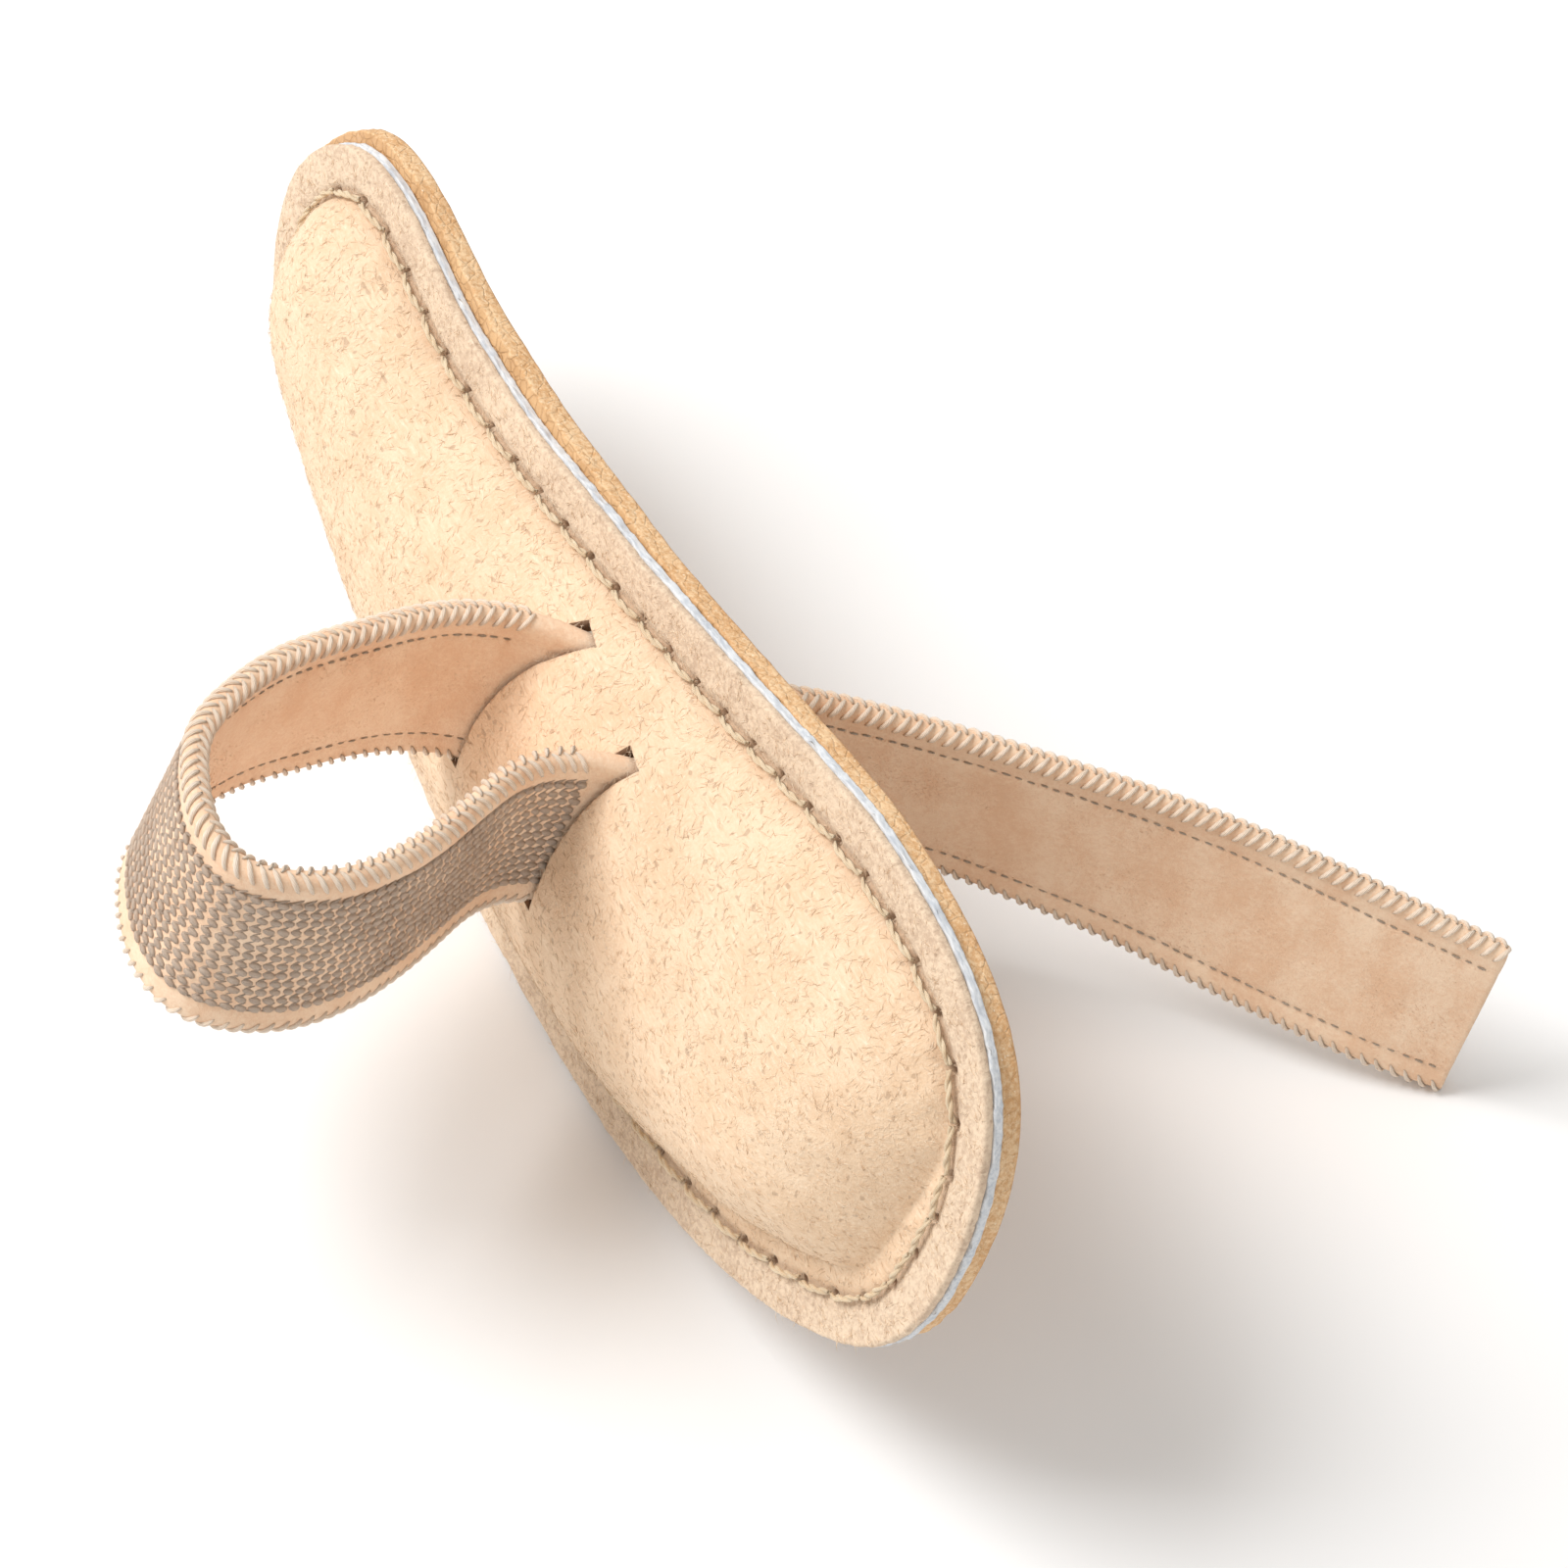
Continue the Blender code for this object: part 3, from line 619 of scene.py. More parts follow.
def leatherFinish():
    # Tan leather: fine grain on its face, and on its cut edge pale fibres with a darker outer line
    finish = Finish("tan_leather")
    edge, level = finish.split()
    cells = finish.add("ShaderNodeTexVoronoi", {"feature": "DISTANCE_TO_EDGE"},
                       {"Vector": finish.spot(), "Scale": 1000 / 0.75, "Randomness": 1.0})
    grain = finish.limit(cells, 0.0, 0.12)
    cloud = finish.noise(4.0, detail=4)
    fuzz = finish.noise(0.28, detail=3, roughness=0.7)
    face = finish.mix(finish.limit(cloud, 0.35, 0.66), tone(205, 160, 112), tone(226, 184, 136))
    face = finish.mix((1 - grain) * 0.35, face, tone(176, 128, 82))
    side = finish.limit(fuzz * 0.7 + cloud * 0.35, 0.40, 0.66)
    side = finish.mix(side, tone(214, 166, 116), tone(240, 206, 164))
    side = finish.mix(finish.limit(finish.noise(0.22, detail=1), 0.68, 0.76) * 0.7, side, tone(252, 234, 208))
    side = finish.mix(finish.limit(level, 0.80, 1.0) * 0.5, side, tone(198, 142, 92))
    base = finish.mix(edge, face, side)
    relief = grain * 0.5 + finish.noise(0.12, detail=2) * 0.35 + fuzz * edge * 0.8
    return finish.surface(
        Base_Color=base, Roughness=finish.mix(edge, tone(170, 170, 170), tone(240, 240, 240)),
        Normal=finish.bump(relief, 0.08), Specular_IOR_Level=0.35,
    )


def threadFinish(name, bright, deep, gloss):
    # Twisted or looped yarn: fine filaments along each strand, shiny on top
    finish = Finish(name)
    along, around = finish.split()
    filament = finish.add("ShaderNodeTexWave", {"wave_type": "BANDS", "bands_direction": "X"},
                          {"Vector": finish.add("ShaderNodeCombineXYZ", {}, {0: around + along * 0.35}),
                           "Scale": 3.2, "Distortion": 0.6, "Detail": 1.0})
    shade = finish.limit(finish.noise(0.6, detail=2) * 0.6 + filament * 0.4, 0.28, 0.62)
    return finish.surface(
        Base_Color=finish.mix(shade, deep, bright), Roughness=gloss,
        Normal=finish.bump(filament, 0.03), Specular_IOR_Level=0.5,
        Sheen_Weight=0.15, Sheen_Roughness=0.4, Sheen_Tint=tone(255, 246, 232),
    )


def plushFinish():
    # The velvety face and ground of the strap: short pile brushed in patches
    finish = Finish("plush")
    pile = finish.noise(0.13, detail=3, roughness=0.7)
    patch = finish.noise(2.6, finish.spot((0, 0.5, 0.2), (1, 1, 0.6)), 3)
    fine = finish.noise(0.30, finish.spot((0.3, 0.1, 0.5), (0.35, 1, 1)), 2)
    shade = finish.limit(pile * 0.35 + patch * 0.55 + fine * 0.3, 0.42, 0.78)
    base = finish.mix(shade, tone(236, 196, 162), tone(250, 222, 193))
    return finish.surface(
        Base_Color=base, Roughness=0.95, Normal=finish.bump(pile * 0.6 + fine * 0.4, 0.07),
        Specular_IOR_Level=0.15, Sheen_Weight=0.35, Sheen_Roughness=0.5, Sheen_Tint=tone(255, 232, 212),
    )


def paddingFinish():
    # Felted padding inside the cushion
    finish = Finish("padding")
    fluff = finish.noise(0.6, detail=4, roughness=0.7)
    base = finish.mix(finish.limit(fluff, 0.35, 0.65), tone(214, 204, 186), tone(238, 232, 218))
    return finish.surface(Base_Color=base, Roughness=0.95, Normal=finish.bump(fluff, 0.2))


suede = suedeFinish()
white = whiteFinish()
leather = leatherFinish()
plush = plushFinish()
padding = paddingFinish()
thread = threadFinish("seam_thread", tone(255, 238, 208), tone(226, 190, 146), 0.45)
knitYarn = threadFinish("knit_yarn", tone(253, 232, 212), tone(240, 205, 176), 0.55)
edgeYarn = threadFinish("edge_yarn", tone(255, 240, 222), tone(238, 208, 178), 0.40)
suedeNap = napFinish("suede_nap", tone(254, 236, 212), tone(226, 196, 162))
plushNap = napFinish("plush_nap", tone(254, 228, 202), tone(238, 200, 168))
print("finishes made")


# The suede face: one sheet domed over the padding, flat at the rim, with its seam
suedeFace = {
    "sideRays": 225,
    "wideRays": 170,
    "narrowRays": 90,
    "domeRows": 64,
    "footReach": 2.4,
    "footRows": 16,
    "rimRows": 14,
    "wall": 0.62,
    "edgeRound": 0.22,
    "stitchLength": 3.15,
    "grooveDepth": 0.20,
    "grooveWidth": 0.45,
    "holeDepth": 0.55,
    "holeWidth": 0.27,
    "pucker": 0.07,
    "puckerInside": (0.9, 0.9, 1.0),
    "puckerOutside": (-0.7, 0.5, 0.5),
    "wrinkle": 0.05,
    "unevenness": 0.05,
    "insideRows": 8,
    "insideDrop": 1.0,
}


def seamPlace(rays):
    # the distance along the seam from each ray to the nearest stitch hole, and the stitch that it is in
    count = round(rays["round"] / suedeFace["stitchLength"])
    phase = rays["run"] / rays["round"] * count
    return np.abs(phase - np.round(phase)) * rays["round"] / count, phase, count


def suedeTop(rays):
    # The outer face as rows from the crest to the rim's rounded edge: places, and distances inside the seam
    reach = suedeFace["footReach"]
    w = np.linspace(1, 0, suedeFace["domeRows"])[:, None]
    inside = np.vstack([
        reach + w * (rays["span"] - reach),
        np.linspace(reach, 0, suedeFace["footRows"] + 1)[1:, None] + 0 * rays["span"],
        -np.linspace(0, cushion["rimWidth"] - suedeFace["edgeRound"], suedeFace["rimRows"])[1:, None]
        + 0 * rays["span"],
    ])
    flat = rays["feet"][None] + rays["ways"][None] * (rays["span"] - inside)[..., None]
    height = suedeHeight(rays, inside)
    return np.concatenate([flat, height[..., None]], axis=-1), inside


def seamRelief(rays, inside):
    # The thread pulls a groove along the seam and a pit at each hole, and the suede between two holes rises
    # in small puckers that die out up the dome
    near, phase, count = seamPlace(rays)
    groove = suedeFace["grooveDepth"] * np.exp(-((inside / suedeFace["grooveWidth"]) ** 2))
    pit = suedeFace["holeDepth"] * np.exp(-(near[None] ** 2 + inside**2) / suedeFace["holeWidth"] ** 2)
    fade = sum(
        share * np.exp(-((inside - middle) / width) ** 2)
        for middle, width, share in (suedeFace["puckerInside"], suedeFace["puckerOutside"])
    )
    pucker = -suedeFace["pucker"] * np.cos(2 * np.pi * phase)[None] * fade
    return pucker - groove * (0.8 - 0.2 * np.cos(2 * np.pi * phase)[None]) - pit


def rimWander(rays):
    # a cut edge is never quite true: a slow wander and a fine tremble round the rim
    edge = rays["feet"] + rays["ways"] * rays["reach"][:, None]
    spots = np.column_stack([edge, np.zeros(len(edge))])
    return 0.10 * softNoise(spots, 6.0, 11) + 0.04 * softNoise(spots, 1.1, 12)


def suedeSheet(rays):
    top, inside = suedeTop(rays)
    normals = gridNormals(top)
    wrinkle = softNoise(top * [0.16, 1.0, 0.3], 1.6, 21) * suedeFace["wrinkle"]
    wrinkle = wrinkle * smoothStep(1.5, 4.0, inside)
    uneven = softNoise(top, 2.2, 22) * suedeFace["unevenness"] + softNoise(top, 0.7, 23) * 0.02
    move = seamRelief(rays, inside) + wrinkle + uneven * smoothStep(-2.9, -1.5, inside)
    top = top + normals * move[..., None]
    wander = rimWander(rays)
    edge = rays["reach"] + wander
    top[..., :2] += rays["ways"][None] * (wander * smoothStep(-0.5, -2.6, inside))[..., None]
    round_, wall = suedeFace["edgeRound"], suedeFace["wall"]
    turn = np.linspace(0, np.pi / 2, 5)[1:]
    outs = list(-round_ + round_ * np.sin(turn)) + [0.0, 0.0, -0.12]
    downs = list(round_ * (np.cos(turn) - 1)) + [-0.36, -0.50, -wall]
    rows = []
    for out, down in zip(outs, downs):
        ragged = 0.05 * softNoise(np.column_stack([top[-1, :, :2], np.full(len(edge), down)]), 0.4, 31)
        place = rays["feet"] + rays["ways"] * (edge + out + ragged)[:, None]
        rows.append(np.column_stack([place, np.full(len(edge), down)]))
    for share in np.linspace(1, 0, suedeFace["insideRows"]):
        inner = rays["span"] * share
        height = suedeHeight(rays, rays["span"] - inner) - suedeFace["insideDrop"]
        rows.append(np.column_stack([
            rays["feet"] + rays["ways"] * inner[:, None], np.maximum(height, -wall)
        ]))
    points = np.concatenate([top, np.array(rows)])
    near, _, _ = seamPlace(rays)
    insideAll = np.vstack([inside, np.full((len(rows), len(edge)), -cushion["rimWidth"])])
    uv = np.stack([np.broadcast_to(near, insideAll.shape), insideAll], axis=-1)
    return points, uv, top


rays = castRays(suedeFace["sideRays"], suedeFace["wideRays"], suedeFace["narrowRays"])
suedePoints, suedeUv, suedeTopPoints = suedeSheet(rays)
suedePiece = makePiece(
    "suede_face", suedePoints, gridFaces(*suedePoints.shape[:2], closedColumns=True), suede, suedeUv, 1e-3
)
print("suede sheet:", len(suedePiece.data.polygons), "faces")


# The white layer and the leather, each a slab out to its own edge
layers = {
    "white": {"top": -0.64, "bottom": -1.22, "ragged": 0.10, "jag": 0.10, "out": 0.05, "seed": 41},
    "leather": {"top": -1.26, "bottom": -2.65, "ragged": 0.07, "jag": 0.12, "out": 0.0, "seed": 42},
}


def slab(name, rays, reach, settings, finish, bevel=0.15):
    # Rows from the crest line out over the top, down the cut edge and back in over the underside. The cut
    # edge is ragged, and its upper border jags up and down
    count = len(reach)
    top, bottom = settings["top"], settings["bottom"]
    edge = rays["feet"] + rays["ways"] * reach[:, None]
    border = np.column_stack([edge, np.zeros(count)])
    jag = settings["jag"] * softNoise(border, 0.45, settings["seed"])
    wander = rimWander(rays) + settings["out"]
    levels = np.linspace(top - bevel * 0.5, bottom + bevel, 7)
    rows, flats = [], []
    for share in np.linspace(0, 1, 12)[:-1]:
        place = rays["feet"] + rays["ways"] * (reach * share)[:, None]
        rows.append(np.column_stack([place, np.full(count, top)]))
        flats.append((0.0, 0.0))
    for out, level, side in [(-bevel, top, 0.0)] + [(0.0, level, 1.0) for level in levels]:
        drop = jag if level == top or level == levels[0] else 0.0
        spots = np.column_stack([edge, np.full(count, level)])
        ragged = settings["ragged"] * softNoise(spots, 0.35, settings["seed"] + 7)
        place = rays["feet"] + rays["ways"] * (reach + wander + out + ragged)[:, None]
        rows.append(np.column_stack([place, level + drop + np.zeros(count)]))
        flats.append((side, (top - level) / (top - bottom)))
    for out in (-0.05, -0.2, -0.5):
        place = rays["feet"] + rays["ways"] * (reach + wander + out)[:, None]
        rows.append(np.column_stack([place, np.full(count, bottom + (0.05 if out > -0.1 else 0.0))]))
        flats.append((1.0 if out > -0.1 else 0.0, 1.0))
    for share in np.linspace(1, 0, 30)[1:]:
        rows.append(np.column_stack([
            rays["feet"] + rays["ways"] * ((reach - 0.5) * share)[:, None], np.full(count, bottom)
        ]))
        flats.append((0.0, 0.0))
    points = np.array(rows)
    uv = np.broadcast_to(np.array(flats)[:, None], (len(rows), count, 2))
    return makePiece(name, points, gridFaces(len(rows), count, closedColumns=True), finish, uv, 1e-3)


whitePiece = slab("white_layer", rays, rays["reach"], layers["white"], white, 0.08)
leatherPiece = slab("leather_back", rays, rays["leatherReach"], layers["leather"], leather)
print("layers made")


# The seam: a two-ply thread that comes up through each hole and lies across to the next
seam = {
    "yarn": 0.19,
    "ply": 0.13,
    "rise": 0.17,
    "sink": 0.45,
    "turns": 1.6,
    "slant": 0.16,
    "steps": 26,
    "sides": 7,
    "seed": 5,
}


def seamLines(count, rise, slant, level, seed):
    # Each stitch is an arch from hole to hole; its two plies wind round the arch. Returns strands x points
    rng = np.random.default_rng(seed)
    closed = np.vstack([rays["seam"], rays["seam"][:1]])
    run = np.append(rays["run"], rays["round"])
    share = np.linspace(0.04, 0.96, seam["steps"])
    place = (np.arange(count)[:, None] + share) / count * rays["round"]
    x, y = (np.interp(place, run, closed[:, i]) for i in range(2))
    way = unit(np.stack([np.gradient(x, axis=1), np.gradient(y, axis=1)], axis=-1))
    outward = np.stack([-way[..., 1], way[..., 0]], axis=-1)
    arch = np.sin(np.pi * share) ** 0.55
    height = level + rise * (rng.uniform(0.75, 1.15, (count, 1)) * arch - 1.0 + arch)
    skew = slant * (share - 0.5)[None] * rng.uniform(0.5, 1.4, (count, 1))
    middle = np.stack([x + outward[..., 0] * skew, y + outward[..., 1] * skew, height], axis=-1)
    turn = 2 * np.pi * (seam["turns"] * share[None] + rng.random((count, 1)))
    side = np.concatenate([outward, np.zeros((*outward.shape[:2], 1))], axis=-1)
    lines = []
    for half in (0, np.pi):
        swing = np.cos(turn + half)[..., None] * side
        swing = swing + np.sin(turn + half)[..., None] * np.array([0, 0, 1.0])
        lines.append(middle + swing * seam["yarn"] / 2)
    return np.concatenate(lines)


stitchCount = seamPlace(rays)[2]
lines = seamLines(stitchCount, seam["rise"], seam["slant"], 0.16, seam["seed"])
thick = seam["ply"] * (0.75 + 0.25 * np.sin(np.linspace(0.1, np.pi - 0.1, seam["steps"])))
seamPiece = tubes("seam_thread", lines, np.broadcast_to(thick, lines.shape[:2]), seam["sides"], thread)
lines = seamLines(stitchCount, 0.10, 0.05, 0.0, seam["seed"] + 1)
lines[..., 2] = cushion["underside"] - 0.02 - lines[..., 2]
bobbinPiece = tubes("bobbin_thread", lines, np.broadcast_to(thick, lines.shape[:2]), seam["sides"], thread)
print("seam made:", stitchCount, "stitches")


# The strap: a knitted band with a plush face, raised loops on its outer face and a roll on each edge
band = {
    "step": 0.28,
    "halfWidth": 6.20,
    "body": 0.58,
    "roll": 0.66,
    "rollReach": 1.35,
    "groove": 0.12,
    "grooveAt": 1.85,
    "grooveWidth": 0.16,
    "faceColumns": 40,
    "rollColumns": 7,
    "unevenness": 0.05,
    "seed": 8,
}
route = strapRoute(band["step"])
strapEnd = route["run"][-1]
anchorSlit, loopSlit, backSlit = route["slits"]


def bandHalf(across):
    # half the band's thickness: level in the middle, with a groove and a fuller roll at each edge
    fromEdge = band["halfWidth"] - np.abs(across)
    full = smoothStep(band["rollReach"] + 0.4, 0.6, fromEdge)
    groove = band["groove"] * np.exp(-(((fromEdge - band["grooveAt"]) / band["grooveWidth"]) ** 2))
    return band["body"] + (band["roll"] - band["body"]) * full - groove


def bandProfile():
    # Across the plush face, round one edge, back across the outer face and round the other
    half, roll = band["halfWidth"], band["roll"]
    across = np.linspace(-(half - roll), half - roll, band["faceColumns"])
    turn = np.linspace(np.pi / 2, -np.pi / 2, band["rollColumns"] + 2)[1:-1]
    roundEdge = np.column_stack([half - roll + roll * np.cos(turn), roll * np.sin(turn)])
    face = np.column_stack([across, bandHalf(across)])
    return np.vstack([face, roundEdge, -face, -roundEdge])


def bandSurface(profile, run):
    across = np.broadcast_to(profile[:, 0], (len(run), len(profile)))
    plushward = np.broadcast_to(profile[:, 1], across.shape)
    return onStrap(route, np.broadcast_to(run[:, None], across.shape), across, plushward)


profile = bandProfile()
bandPoints, bandWays = bandSurface(profile, route["run"])
soft = softNoise(bandPoints, 2.6, band["seed"]) * band["unevenness"]
fine = softNoise(bandPoints, 0.55, band["seed"] + 1) * 0.018
bandPoints = bandPoints + bandWays[2] * soft[..., None]
bandPoints = bandPoints + bandWays[2] * fine[..., None] * np.sign(profile[:, 1:])
bandFaces = gridFaces(len(bandPoints), len(profile), closedColumns=True)
rim = np.arange(len(profile))
ends = np.array([rim[::-1], (len(bandPoints) - 1) * len(profile) + rim])
bandUv = np.stack(np.broadcast_arrays(route["run"][:, None], profile[None, :, 0]), axis=-1)
bandPiece = makePiece("strap_band", bandPoints, [bandFaces[:, ::-1], ends[:, ::-1]], plush, bandUv)
print("strap band:", len(bandPiece.data.polygons), "faces")


def shownRuns(step):
    # evenly spaced runs along the two stretches that stand free: the toe loop and the tail
    loop = np.arange(anchorSlit, loopSlit, step)
    tail = np.arange(backSlit + 0.6, strapEnd - step * 0.5, step)
    return np.concatenate([loop, tail])


# The knitted outer face: a plump loop and a thin leg in each cell
knit = {
    "along": 0.74,
    "across": 0.70,
    "columns": 13,
    "loop": [0.40, 0.265, 0.15],
    "leg": [0.34, 0.085, 0.10],
    "tilt": 0.32,
    "seed": 9,
}


def knitFace():
    rng = np.random.default_rng(knit["seed"])
    runs = shownRuns(knit["along"])
    across = (np.arange(knit["columns"]) - (knit["columns"] - 1) / 2) * knit["across"]
    run, across = (values.ravel() for values in np.meshgrid(runs, across, indexing="ij"))
    shift = (np.round(across / knit["across"]).astype(int) % 2) * 0.22 * knit["along"]
    centres, sizes, ways = [], [], []
    for size, aside, tilt, level in ((knit["loop"], 0.0, knit["tilt"], 0.02),
                                     (knit["leg"], 0.5, -0.55, 0.0)):
        jitter = rng.normal(0, 0.02, (2, len(run)))
        place, (forward, sideways, plushward) = onStrap(
            route, run + shift + jitter[0], across + aside * knit["across"] + jitter[1],
            np.full(len(run), -band["body"] - level),
        )
        angle = (tilt + rng.normal(0, 0.06, len(run)))[:, None]
        ahead = np.cos(angle) * forward + np.sin(angle) * sideways
        centres.append(place)
        ways.append(np.stack([ahead, np.cross(plushward, ahead), plushward], axis=1))
        sizes.append(np.array(size) * rng.uniform(0.92, 1.08, (len(run), 1)))
    return beads("knit_loops", np.vstack(centres), np.vstack(ways), np.vstack(sizes), 5, 3, knitYarn)


knitPiece = knitFace()
print("knit loops:", len(knitPiece.data.polygons), "faces")


# The rolled edges: from each side a strand leans over the edge, and the two meet in a plait along it
roll = {
    "pitch": 0.80,
    "lean": 1.05,
    "stagger": 0.4,
    "strand": 0.165,
    "steps": 9,
    "sides": 6,
    "row": [0.27, 0.075, 0.085],
    "seed": 10,
}


def rolledEdges():
    rng = np.random.default_rng(roll["seed"])
    runs = shownRuns(roll["pitch"])
    t = np.linspace(0, 1, roll["steps"])
    strands, radii = [], []
    for edge in (-1, 1):
        for side in (-1, 1):
            ahead = roll["pitch"] * roll["stagger"] if side > 0 else 0
            start = (runs + rng.normal(0, 0.03, len(runs)) + ahead)[:, None]
            angle = side * (np.pi * 0.62 * (1 - t) - 0.10)[None] + 0 * start
            run = start + roll["lean"] * roll["pitch"] * t[None]
            out = band["roll"] + 0.03 + 0.05 * np.sin(np.pi * t)
            across = edge * (band["halfWidth"] - band["roll"] + out * np.cos(angle))
            place, _ = onStrap(route, run, across, out * np.sin(angle))
            strands.append(place)
            thickness = roll["strand"] * (0.35 + 0.65 * np.sin(np.pi * t) ** 0.6)
            radii.append(np.broadcast_to(thickness, across.shape))
    return tubes("edge_roll", np.concatenate(strands), np.concatenate(radii), roll["sides"], edgeYarn)


def stitchRows():
    # small bright stitches in the groove inside each edge, on both faces
    rng = np.random.default_rng(roll["seed"] + 1)
    runs = shownRuns(roll["pitch"])
    centres, ways, sizes = [], [], []
    for edge in (-1, 1):
        for face in (-1, 1):
            across = edge * (band["halfWidth"] - band["grooveAt"]) + rng.normal(0, 0.02, len(runs))
            place, (forward, sideways, plushward) = onStrap(
                route, runs + rng.normal(0, 0.03, len(runs)), across,
                np.full(len(runs), face * (band["body"] - 0.04)),
            )
            centres.append(place)
            ways.append(np.stack([forward, np.cross(plushward, forward), plushward], axis=1))
            sizes.append(np.array(roll["row"]) * rng.uniform(0.85, 1.15, (len(runs), 1)))
    return beads("edge_stitches", np.vstack(centres), np.vstack(ways), np.vstack(sizes), 5, 2, edgeYarn)


rollPiece = rolledEdges()
rowPiece = stitchRows()
print("edges made:", len(rollPiece.data.polygons), "faces")


# Loose fibres: the brushed suede and the plush pile
fuzz = {
    "suedeCount": 13000,
    "suedeLength": (0.35, 1.0),
    "suedeThickness": 0.035,
    "plushCount": 13000,
    "plushLength": (0.18, 0.45),
    "plushThickness": 0.03,
    "plushReach": 4.3,
    "plushColumns": 32,
    "curl": 0.25,
    "seed": 15,
}


def layFibres(name, place, normal, lengths, thickness, finish, stand, rng):
    # each fibre leaves the surface at a low slope in its own direction and bends on the way
    flat = unit(np.cross(normal, rng.normal(size=normal.shape)))
    ways = unit(flat + normal * stand)
    bend = np.cross(normal, flat) * rng.uniform(-fuzz["curl"], fuzz["curl"], (len(place), 1)) - normal * 0.1
    length = rng.uniform(*lengths, len(place))
    return fibres(name, place - normal * 0.02, ways, length, thickness, bend, finish, rng)


rng = np.random.default_rng(fuzz["seed"])
place, normal = sampleGrid(suedeTopPoints, fuzz["suedeCount"], rng)
normal = normal * np.where(normal[:, 2:] < 0, -1, 1)
suedeNapPiece = layFibres(
    "suede_nap", place, normal, fuzz["suedeLength"], fuzz["suedeThickness"], suedeNap, 0.22, rng
)
freeRuns = shownRuns(band["step"])
faceAcross = np.linspace(-fuzz["plushReach"], fuzz["plushReach"], fuzz["plushColumns"])
plushProfile = np.column_stack([faceAcross, np.full(fuzz["plushColumns"], band["body"])])
inLoop = bandSurface(plushProfile, freeRuns[freeRuns < loopSlit])[0]
onTail = bandSurface(plushProfile, freeRuns[freeRuns > loopSlit])[0]
place, normal = [], []
for stretch in (inLoop, onTail):
    part = sampleGrid(stretch, fuzz["plushCount"] // 2, rng, closedColumns=False)
    place.append(part[0])
    normal.append(part[1])
place, normal = np.vstack(place), np.vstack(normal)
plushNapPiece = layFibres(
    "plush_nap", place, normal, fuzz["plushLength"], fuzz["plushThickness"], plushNap, 0.5, rng
)
print("fibres made")


# Slits: the strap's own channels are cut out of every layer that it passes through
slit = {"clearAcross": 0.15, "clearThrough": 0.10, "margin": 3.0}


def channel(name, low, high):
    run = np.arange(low, high, 0.6)
    halfAcross = strap["width"] / 2 + slit["clearAcross"]
    halfThrough = band["roll"] + 0.15 + slit["clearThrough"]
    corners = np.array([[-1, 1], [1, 1], [1, -1], [-1, -1]]) * [halfAcross, halfThrough]
    points, _ = bandSurface(corners, run)
    faces = gridFaces(len(run), 4, closedColumns=True)
    caps = np.array([[3, 2, 1, 0], (len(run) - 1) * 4 + np.arange(4)])
    return makePiece(name, points, [faces, caps], mergeWithin=1e-4)


def cutChannels(thing, channels):
    # applied at once, so that the piece keeps its real slits
    for cutter in channels:
        modifier = thing.modifiers.new("slit", "BOOLEAN")
        modifier.operation = "DIFFERENCE"
        modifier.solver = "EXACT"
        modifier.object = cutter
    bpy.context.view_layer.update()
    graph = bpy.context.evaluated_depsgraph_get()
    mesh = bpy.data.meshes.new_from_object(thing.evaluated_get(graph), preserve_all_data_layers=True,
                                           depsgraph=graph)
    thing.modifiers.clear()
    old, thing.data = thing.data, mesh
    bpy.data.meshes.remove(old)


anchorChannel = channel("anchor_channel", -0.1, anchorSlit + slit["margin"])
throughChannel = channel("through_channel", loopSlit - slit["margin"], backSlit + slit["margin"])

# The padding fills the dome under the suede
filling = {"rays": (90, 60, 36), "rows": 26, "fromSeam": 1.6, "underTop": 1.1, "edge": -0.55, "floor": -0.60}
coarse = castRays(*filling["rays"])
w = np.linspace(0, 1, filling["rows"])[:, None]
out = w * (coarse["span"] - filling["fromSeam"])
flat = coarse["feet"][None] + coarse["ways"][None] * out[..., None]
upper = np.maximum(suedeHeight(coarse, coarse["span"] - out) - filling["underTop"], filling["edge"])
upper = upper + 0.05 * softNoise(np.concatenate([flat, upper[..., None]], axis=-1), 1.5, 51) * (1 - w)
lower = np.full_like(upper, filling["floor"])
paddingPoints = np.concatenate([
    np.concatenate([flat, upper[..., None]], axis=-1),
    np.concatenate([flat, lower[..., None]], axis=-1)[::-1],
])
paddingPiece = makePiece(
    "padding", paddingPoints, gridFaces(*paddingPoints.shape[:2], closedColumns=True), padding, None, 1e-3
)
cutChannels(suedePiece, [anchorChannel, throughChannel])
cutChannels(paddingPiece, [anchorChannel, throughChannel])
cutChannels(whitePiece, [throughChannel])
cutChannels(leatherPiece, [throughChannel])
for cutter in (anchorChannel, throughChannel):
    bpy.data.objects.remove(cutter)
print("slits cut")

# Every piece rides on the cushion's one body
for thing, slotName in (
    (suedePiece, "suede"), (suedeNapPiece, "suede"), (paddingPiece, "padding"), (whitePiece, "white_layer"),
    (leatherPiece, "tan_leather"), (seamPiece, "suede"), (bobbinPiece, "suede"), (bandPiece, "elastic"),
    (knitPiece, "elastic"), (rollPiece, "elastic"), (rowPiece, "elastic"), (plushNapPiece, "elastic"),
):
    settle(thing)
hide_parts("suede_cover")
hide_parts("soft_core")
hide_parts("edge_interlayer")
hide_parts("leather_base")
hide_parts("elastic_strap")
strapEnd / 1000

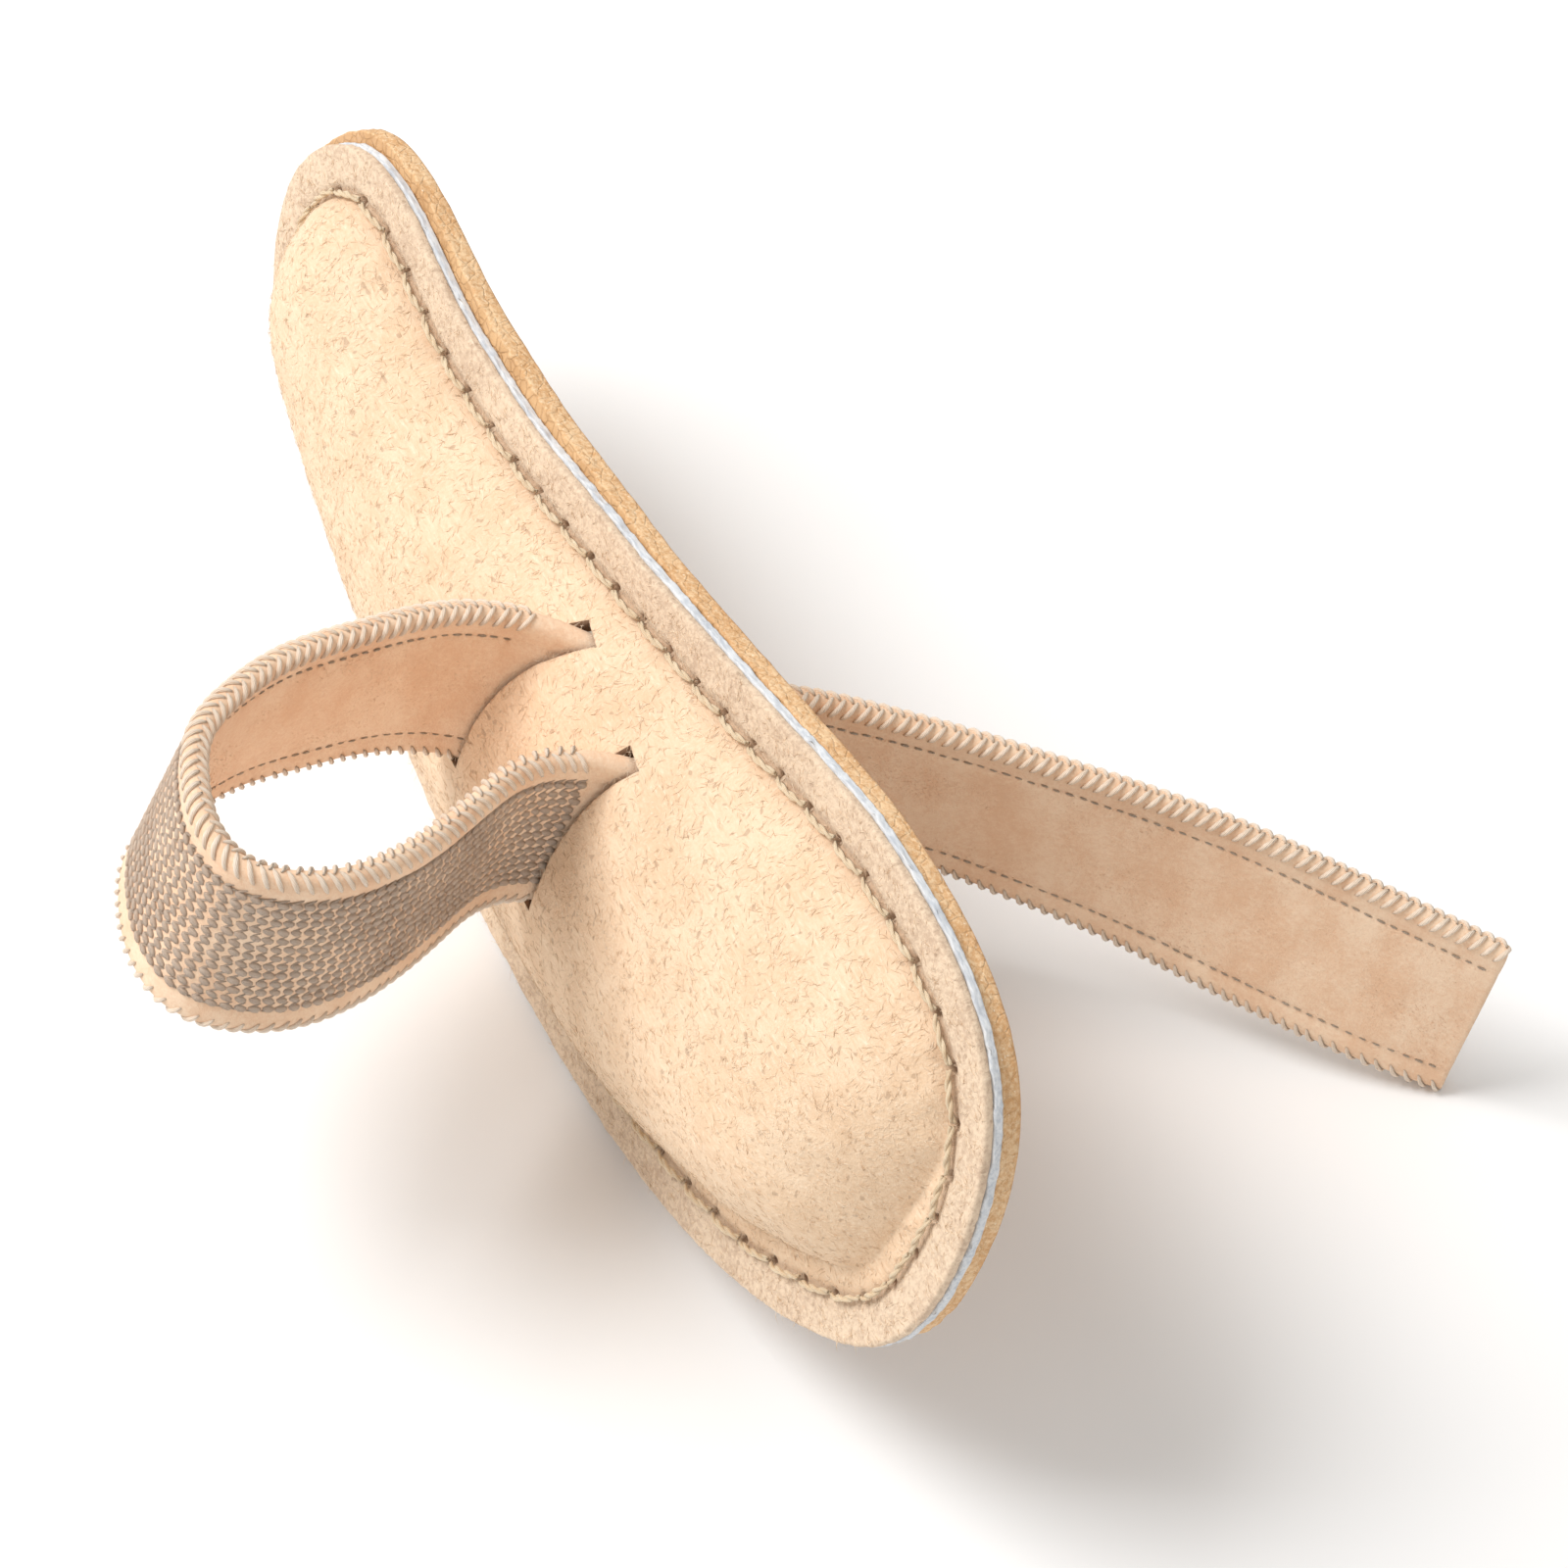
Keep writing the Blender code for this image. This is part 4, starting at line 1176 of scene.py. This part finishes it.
# The camera, placed on the flat cushion's own axes as in the photograph
view = {
    "place": [206.36, 274.17, 205.25],
    "aim": [6.02, 1.21, -7.72],
    "right": [0.43122, 0.33662, -0.8371],
    "lens": 159.23,
    "sensor": 36.0,
}
camera = bpy.data.objects.new("camera", bpy.data.cameras.new("camera"))
bpy.context.scene.collection.objects.link(camera)
bpy.context.scene.camera = camera
camera.data.sensor_width = view["sensor"]
camera.data.lens = view["lens"]
camera.data.clip_start, camera.data.clip_end = 0.01, 20.0
cameraPlace, aimPlace = toWorld(view["place"]), toWorld(view["aim"])
back = unit(cameraPlace - aimPlace)
right = np.array(view["right"]) @ padTurn
right = unit(right - back * (right @ back))
turn = np.column_stack([right, np.cross(back, right), back])
camera.matrix_world = Matrix.Translation(Vector(cameraPlace)) @ Matrix(turn.tolist()).to_4x4()

# A plain pale floor and soft studio light
studio = {
    "floorSize": 6.0,
    "floorTone": tone(247, 247, 247),
    "floorCloud": tone(250, 250, 250),
    "worldTone": tone(255, 253, 250),
    "worldStrength": 0.62,
    "keyPlace": (-0.35, -0.45, 0.75),
    "keySize": 0.45,
    "keyPower": 7.0,
}


def makeStudio():
    finish = Finish("floor")
    cloud = finish.noise(40, detail=2)
    floorTone = finish.mix(finish.limit(cloud, 0.3, 0.7), studio["floorTone"], studio["floorCloud"])
    size = studio["floorSize"] / 2
    mesh = bpy.data.meshes.new("floor")
    corners = [(-size, -size, 0), (size, -size, 0), (size, size, 0), (-size, size, 0)]
    mesh.from_pydata(corners, [], [(0, 1, 2, 3)])
    mesh.materials.append(finish.surface(Base_Color=floorTone, Roughness=0.9))
    floor = bpy.data.objects.new("floor", mesh)
    bpy.context.scene.collection.objects.link(floor)
    world = bpy.data.worlds.new("studio")
    world.use_nodes = True
    background = world.node_tree.nodes["Background"]
    background.inputs["Color"].default_value = studio["worldTone"]
    background.inputs["Strength"].default_value = studio["worldStrength"]
    bpy.context.scene.world = world
    lamp = bpy.data.lights.new("key", "AREA")
    lamp.size, lamp.energy = studio["keySize"], studio["keyPower"]
    key = bpy.data.objects.new("key", lamp)
    key.location = studio["keyPlace"]
    key.rotation_mode = "QUATERNION"
    key.rotation_quaternion = (-Vector(studio["keyPlace"])).to_track_quat("-Z", "Y")
    bpy.context.scene.collection.objects.link(key)
    bpy.context.scene.view_settings.view_transform = "Standard"


makeStudio()
